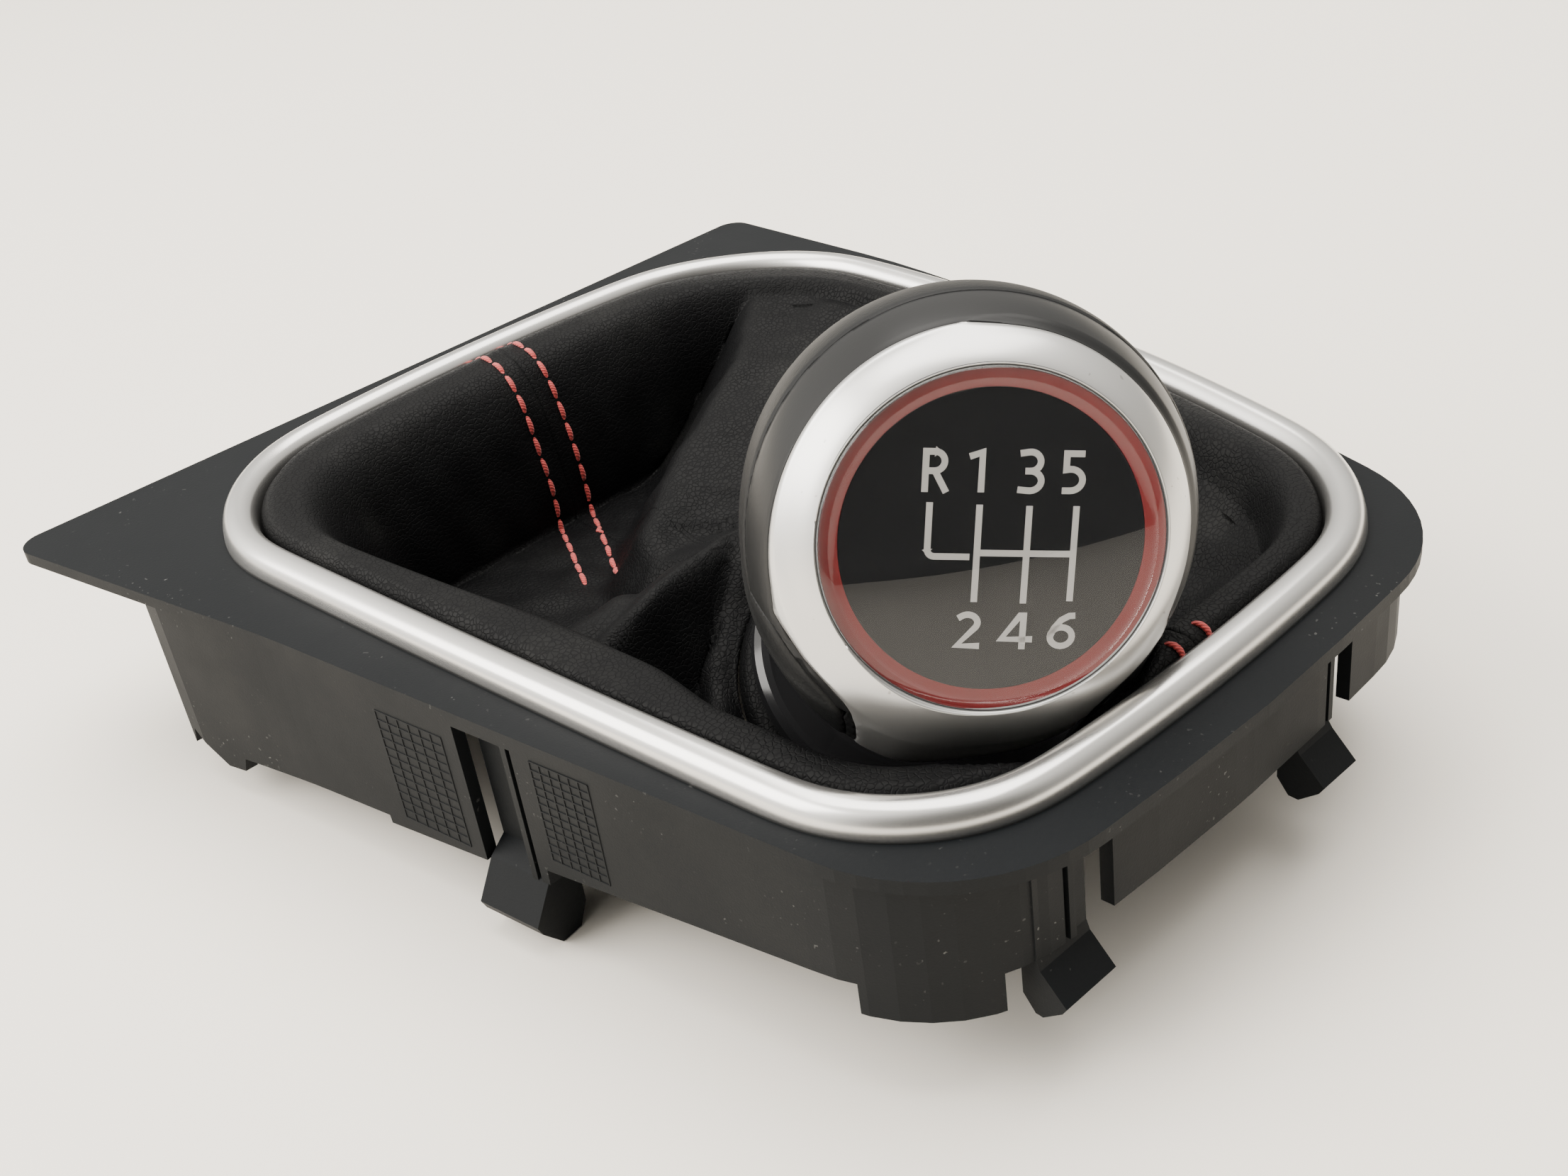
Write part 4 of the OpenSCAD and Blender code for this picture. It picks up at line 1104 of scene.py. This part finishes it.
# Stitching
def grid_point(j, s_):
    """A point and normal on the leather's upper face: row j, place s along the rim."""
    s_ = s_ % RIM_LENGTH
    i = np.searchsorted(PLACES, s_) % COLS
    a, b = (i - 1) % COLS, i
    gap = (PLACES[b] - PLACES[a]) % RIM_LENGTH
    f_ = ((s_ - PLACES[a]) % RIM_LENGTH) / gap if gap > 0 else 0
    j0 = int(min(math.floor(j), ROWS - 2))
    g = j - j0
    p_, n_ = [(grid[j0, a] * (1 - f_) + grid[j0, b] * f_) * (1 - g)
              + (grid[j0 + 1, a] * (1 - f_) + grid[j0 + 1, b] * f_) * g for grid in (SHEET, SHEET_N)]
    return Vector(p_) + Vector(n_) * LEATHER_T / 2, Vector(n_)


def row_line(centre, side, until):
    """A line on the leather that keeps an even distance from a seam."""
    line = []
    for j in np.arange(2.0, until, 0.5):
        c, n_ = grid_point(j, centre)
        lo, hi = 0.0, 9.0
        for _ in range(18):
            mid = (lo + hi) / 2
            p_, _n = grid_point(j, centre + (mid if side > 0 else -mid))
            if (p_ - c).length < abs(side):
                lo = mid
            else:
                hi = mid
        p_, n_ = grid_point(j, centre + (lo if side > 0 else -lo))
        line.append((p_, n_))
    return line


STITCH_STEPS, STITCH_SIDES = 9, 10
STITCH_PITCH, STITCH_LENGTH, THREAD_R = 4.0, 3.3, 0.42
FLOOR_ROWS = slice(24, 70)


def stitches(lines, pitch, length, radius):
    """Short threads along lines on the leather, each sunk at both ends."""
    verts, faces = [], []
    for line in lines:
        s_ = [0.0]
        for a, b in zip(line[:-1], line[1:]):
            s_.append(s_[-1] + (b[0] - a[0]).length)
        k = 0.6
        while k + length < s_[-1]:
            pts = []
            for u in np.linspace(0, 1, STITCH_STEPS):
                q = k + u * length
                i = min(max(int(np.searchsorted(s_, q)), 1), len(s_) - 1)
                f_ = (q - s_[i - 1]) / max(1e-9, s_[i] - s_[i - 1])
                p_ = line[i - 1][0].lerp(line[i][0], f_)
                n_ = line[i - 1][1].lerp(line[i][1], f_).normalized()
                sink = -0.42 * radius + 0.95 * radius * math.sin(math.pi * u) ** 0.5
                pts.append((p_ + n_ * sink, n_, radius * (0.55 + 0.45 * math.sin(math.pi * u) ** 0.6)))
            start = len(verts)
            for i, (p_, n_, r) in enumerate(pts):
                d = (pts[min(i + 1, STITCH_STEPS - 1)][0] - pts[max(i - 1, 0)][0]).normalized()
                b_ = d.cross(n_).normalized()
                n2 = b_.cross(d)
                for a in range(STITCH_SIDES):
                    th = 2 * math.pi * a / STITCH_SIDES
                    verts.append(tuple(p_ + b_ * r * 1.15 * math.cos(th) + n2 * r * 0.85 * math.sin(th)))
            last_ring = start + (STITCH_STEPS - 1) * STITCH_SIDES
            faces += grid_faces(STITCH_STEPS, STITCH_SIDES, True, start)
            faces.append(tuple(start + a for a in range(STITCH_SIDES)))
            faces.append(tuple(last_ring + a for a in reversed(range(STITCH_SIDES))))
            k += pitch
    return verts, faces


def on_floor(x, y):
    """A point and normal on the leather's upper face, in the pocket."""
    d = np.hypot(SHEET[FLOOR_ROWS, :, 0] - x, SHEET[FLOOR_ROWS, :, 1] - y)
    j, i = np.unravel_index(np.argmin(d), d.shape)
    q, n_ = SHEET[FLOOR_ROWS][j, i], SHEET_N[FLOOR_ROWS][j, i]
    z = q[2] - (n_[0] * (x - q[0]) + n_[1] * (y - q[1])) / max(0.3, n_[2])
    return Vector((x, y, z)) + Vector(n_) * LEATHER_T / 2, Vector(n_)


def seam_row(side, end):
    """A row of stitches' line: down the wall beside the seam, then straight to a place in the pocket."""
    line = row_line(SEAM_C, side, 28.5)
    a = line[-1][0]
    for k in range(1, 30):
        f_ = k / 29
        line.append(on_floor(a.x + (end[0] - a.x) * f_, a.y + (end[1] - a.y) * f_))
    return line


SEAM_END_LEFT, SEAM_END_RIGHT = (-8.1, 34.7), (-2.7, 31.7)
lines = [seam_row(3.5, SEAM_END_LEFT), seam_row(-3.5, SEAM_END_RIGHT)]
if lines[0][20][0].x > lines[1][20][0].x:
    lines = [seam_row(3.5, SEAM_END_RIGHT), seam_row(-3.5, SEAM_END_LEFT)]
v, f = stitches(lines, STITCH_PITCH, STITCH_LENGTH, THREAD_R)
st_c = add("stitches_back", v, f)
give(st_c, M_thread)
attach(st_c, "console")
lines = [row_line(SEAM_B, 2.8, 13), row_line(SEAM_B, -2.8, 13)]
v, f = stitches(lines, STITCH_PITCH, STITCH_LENGTH, THREAD_R)
st_b = add("stitches_front", v, f)
give(st_b, M_thread)
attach(st_b, "console")
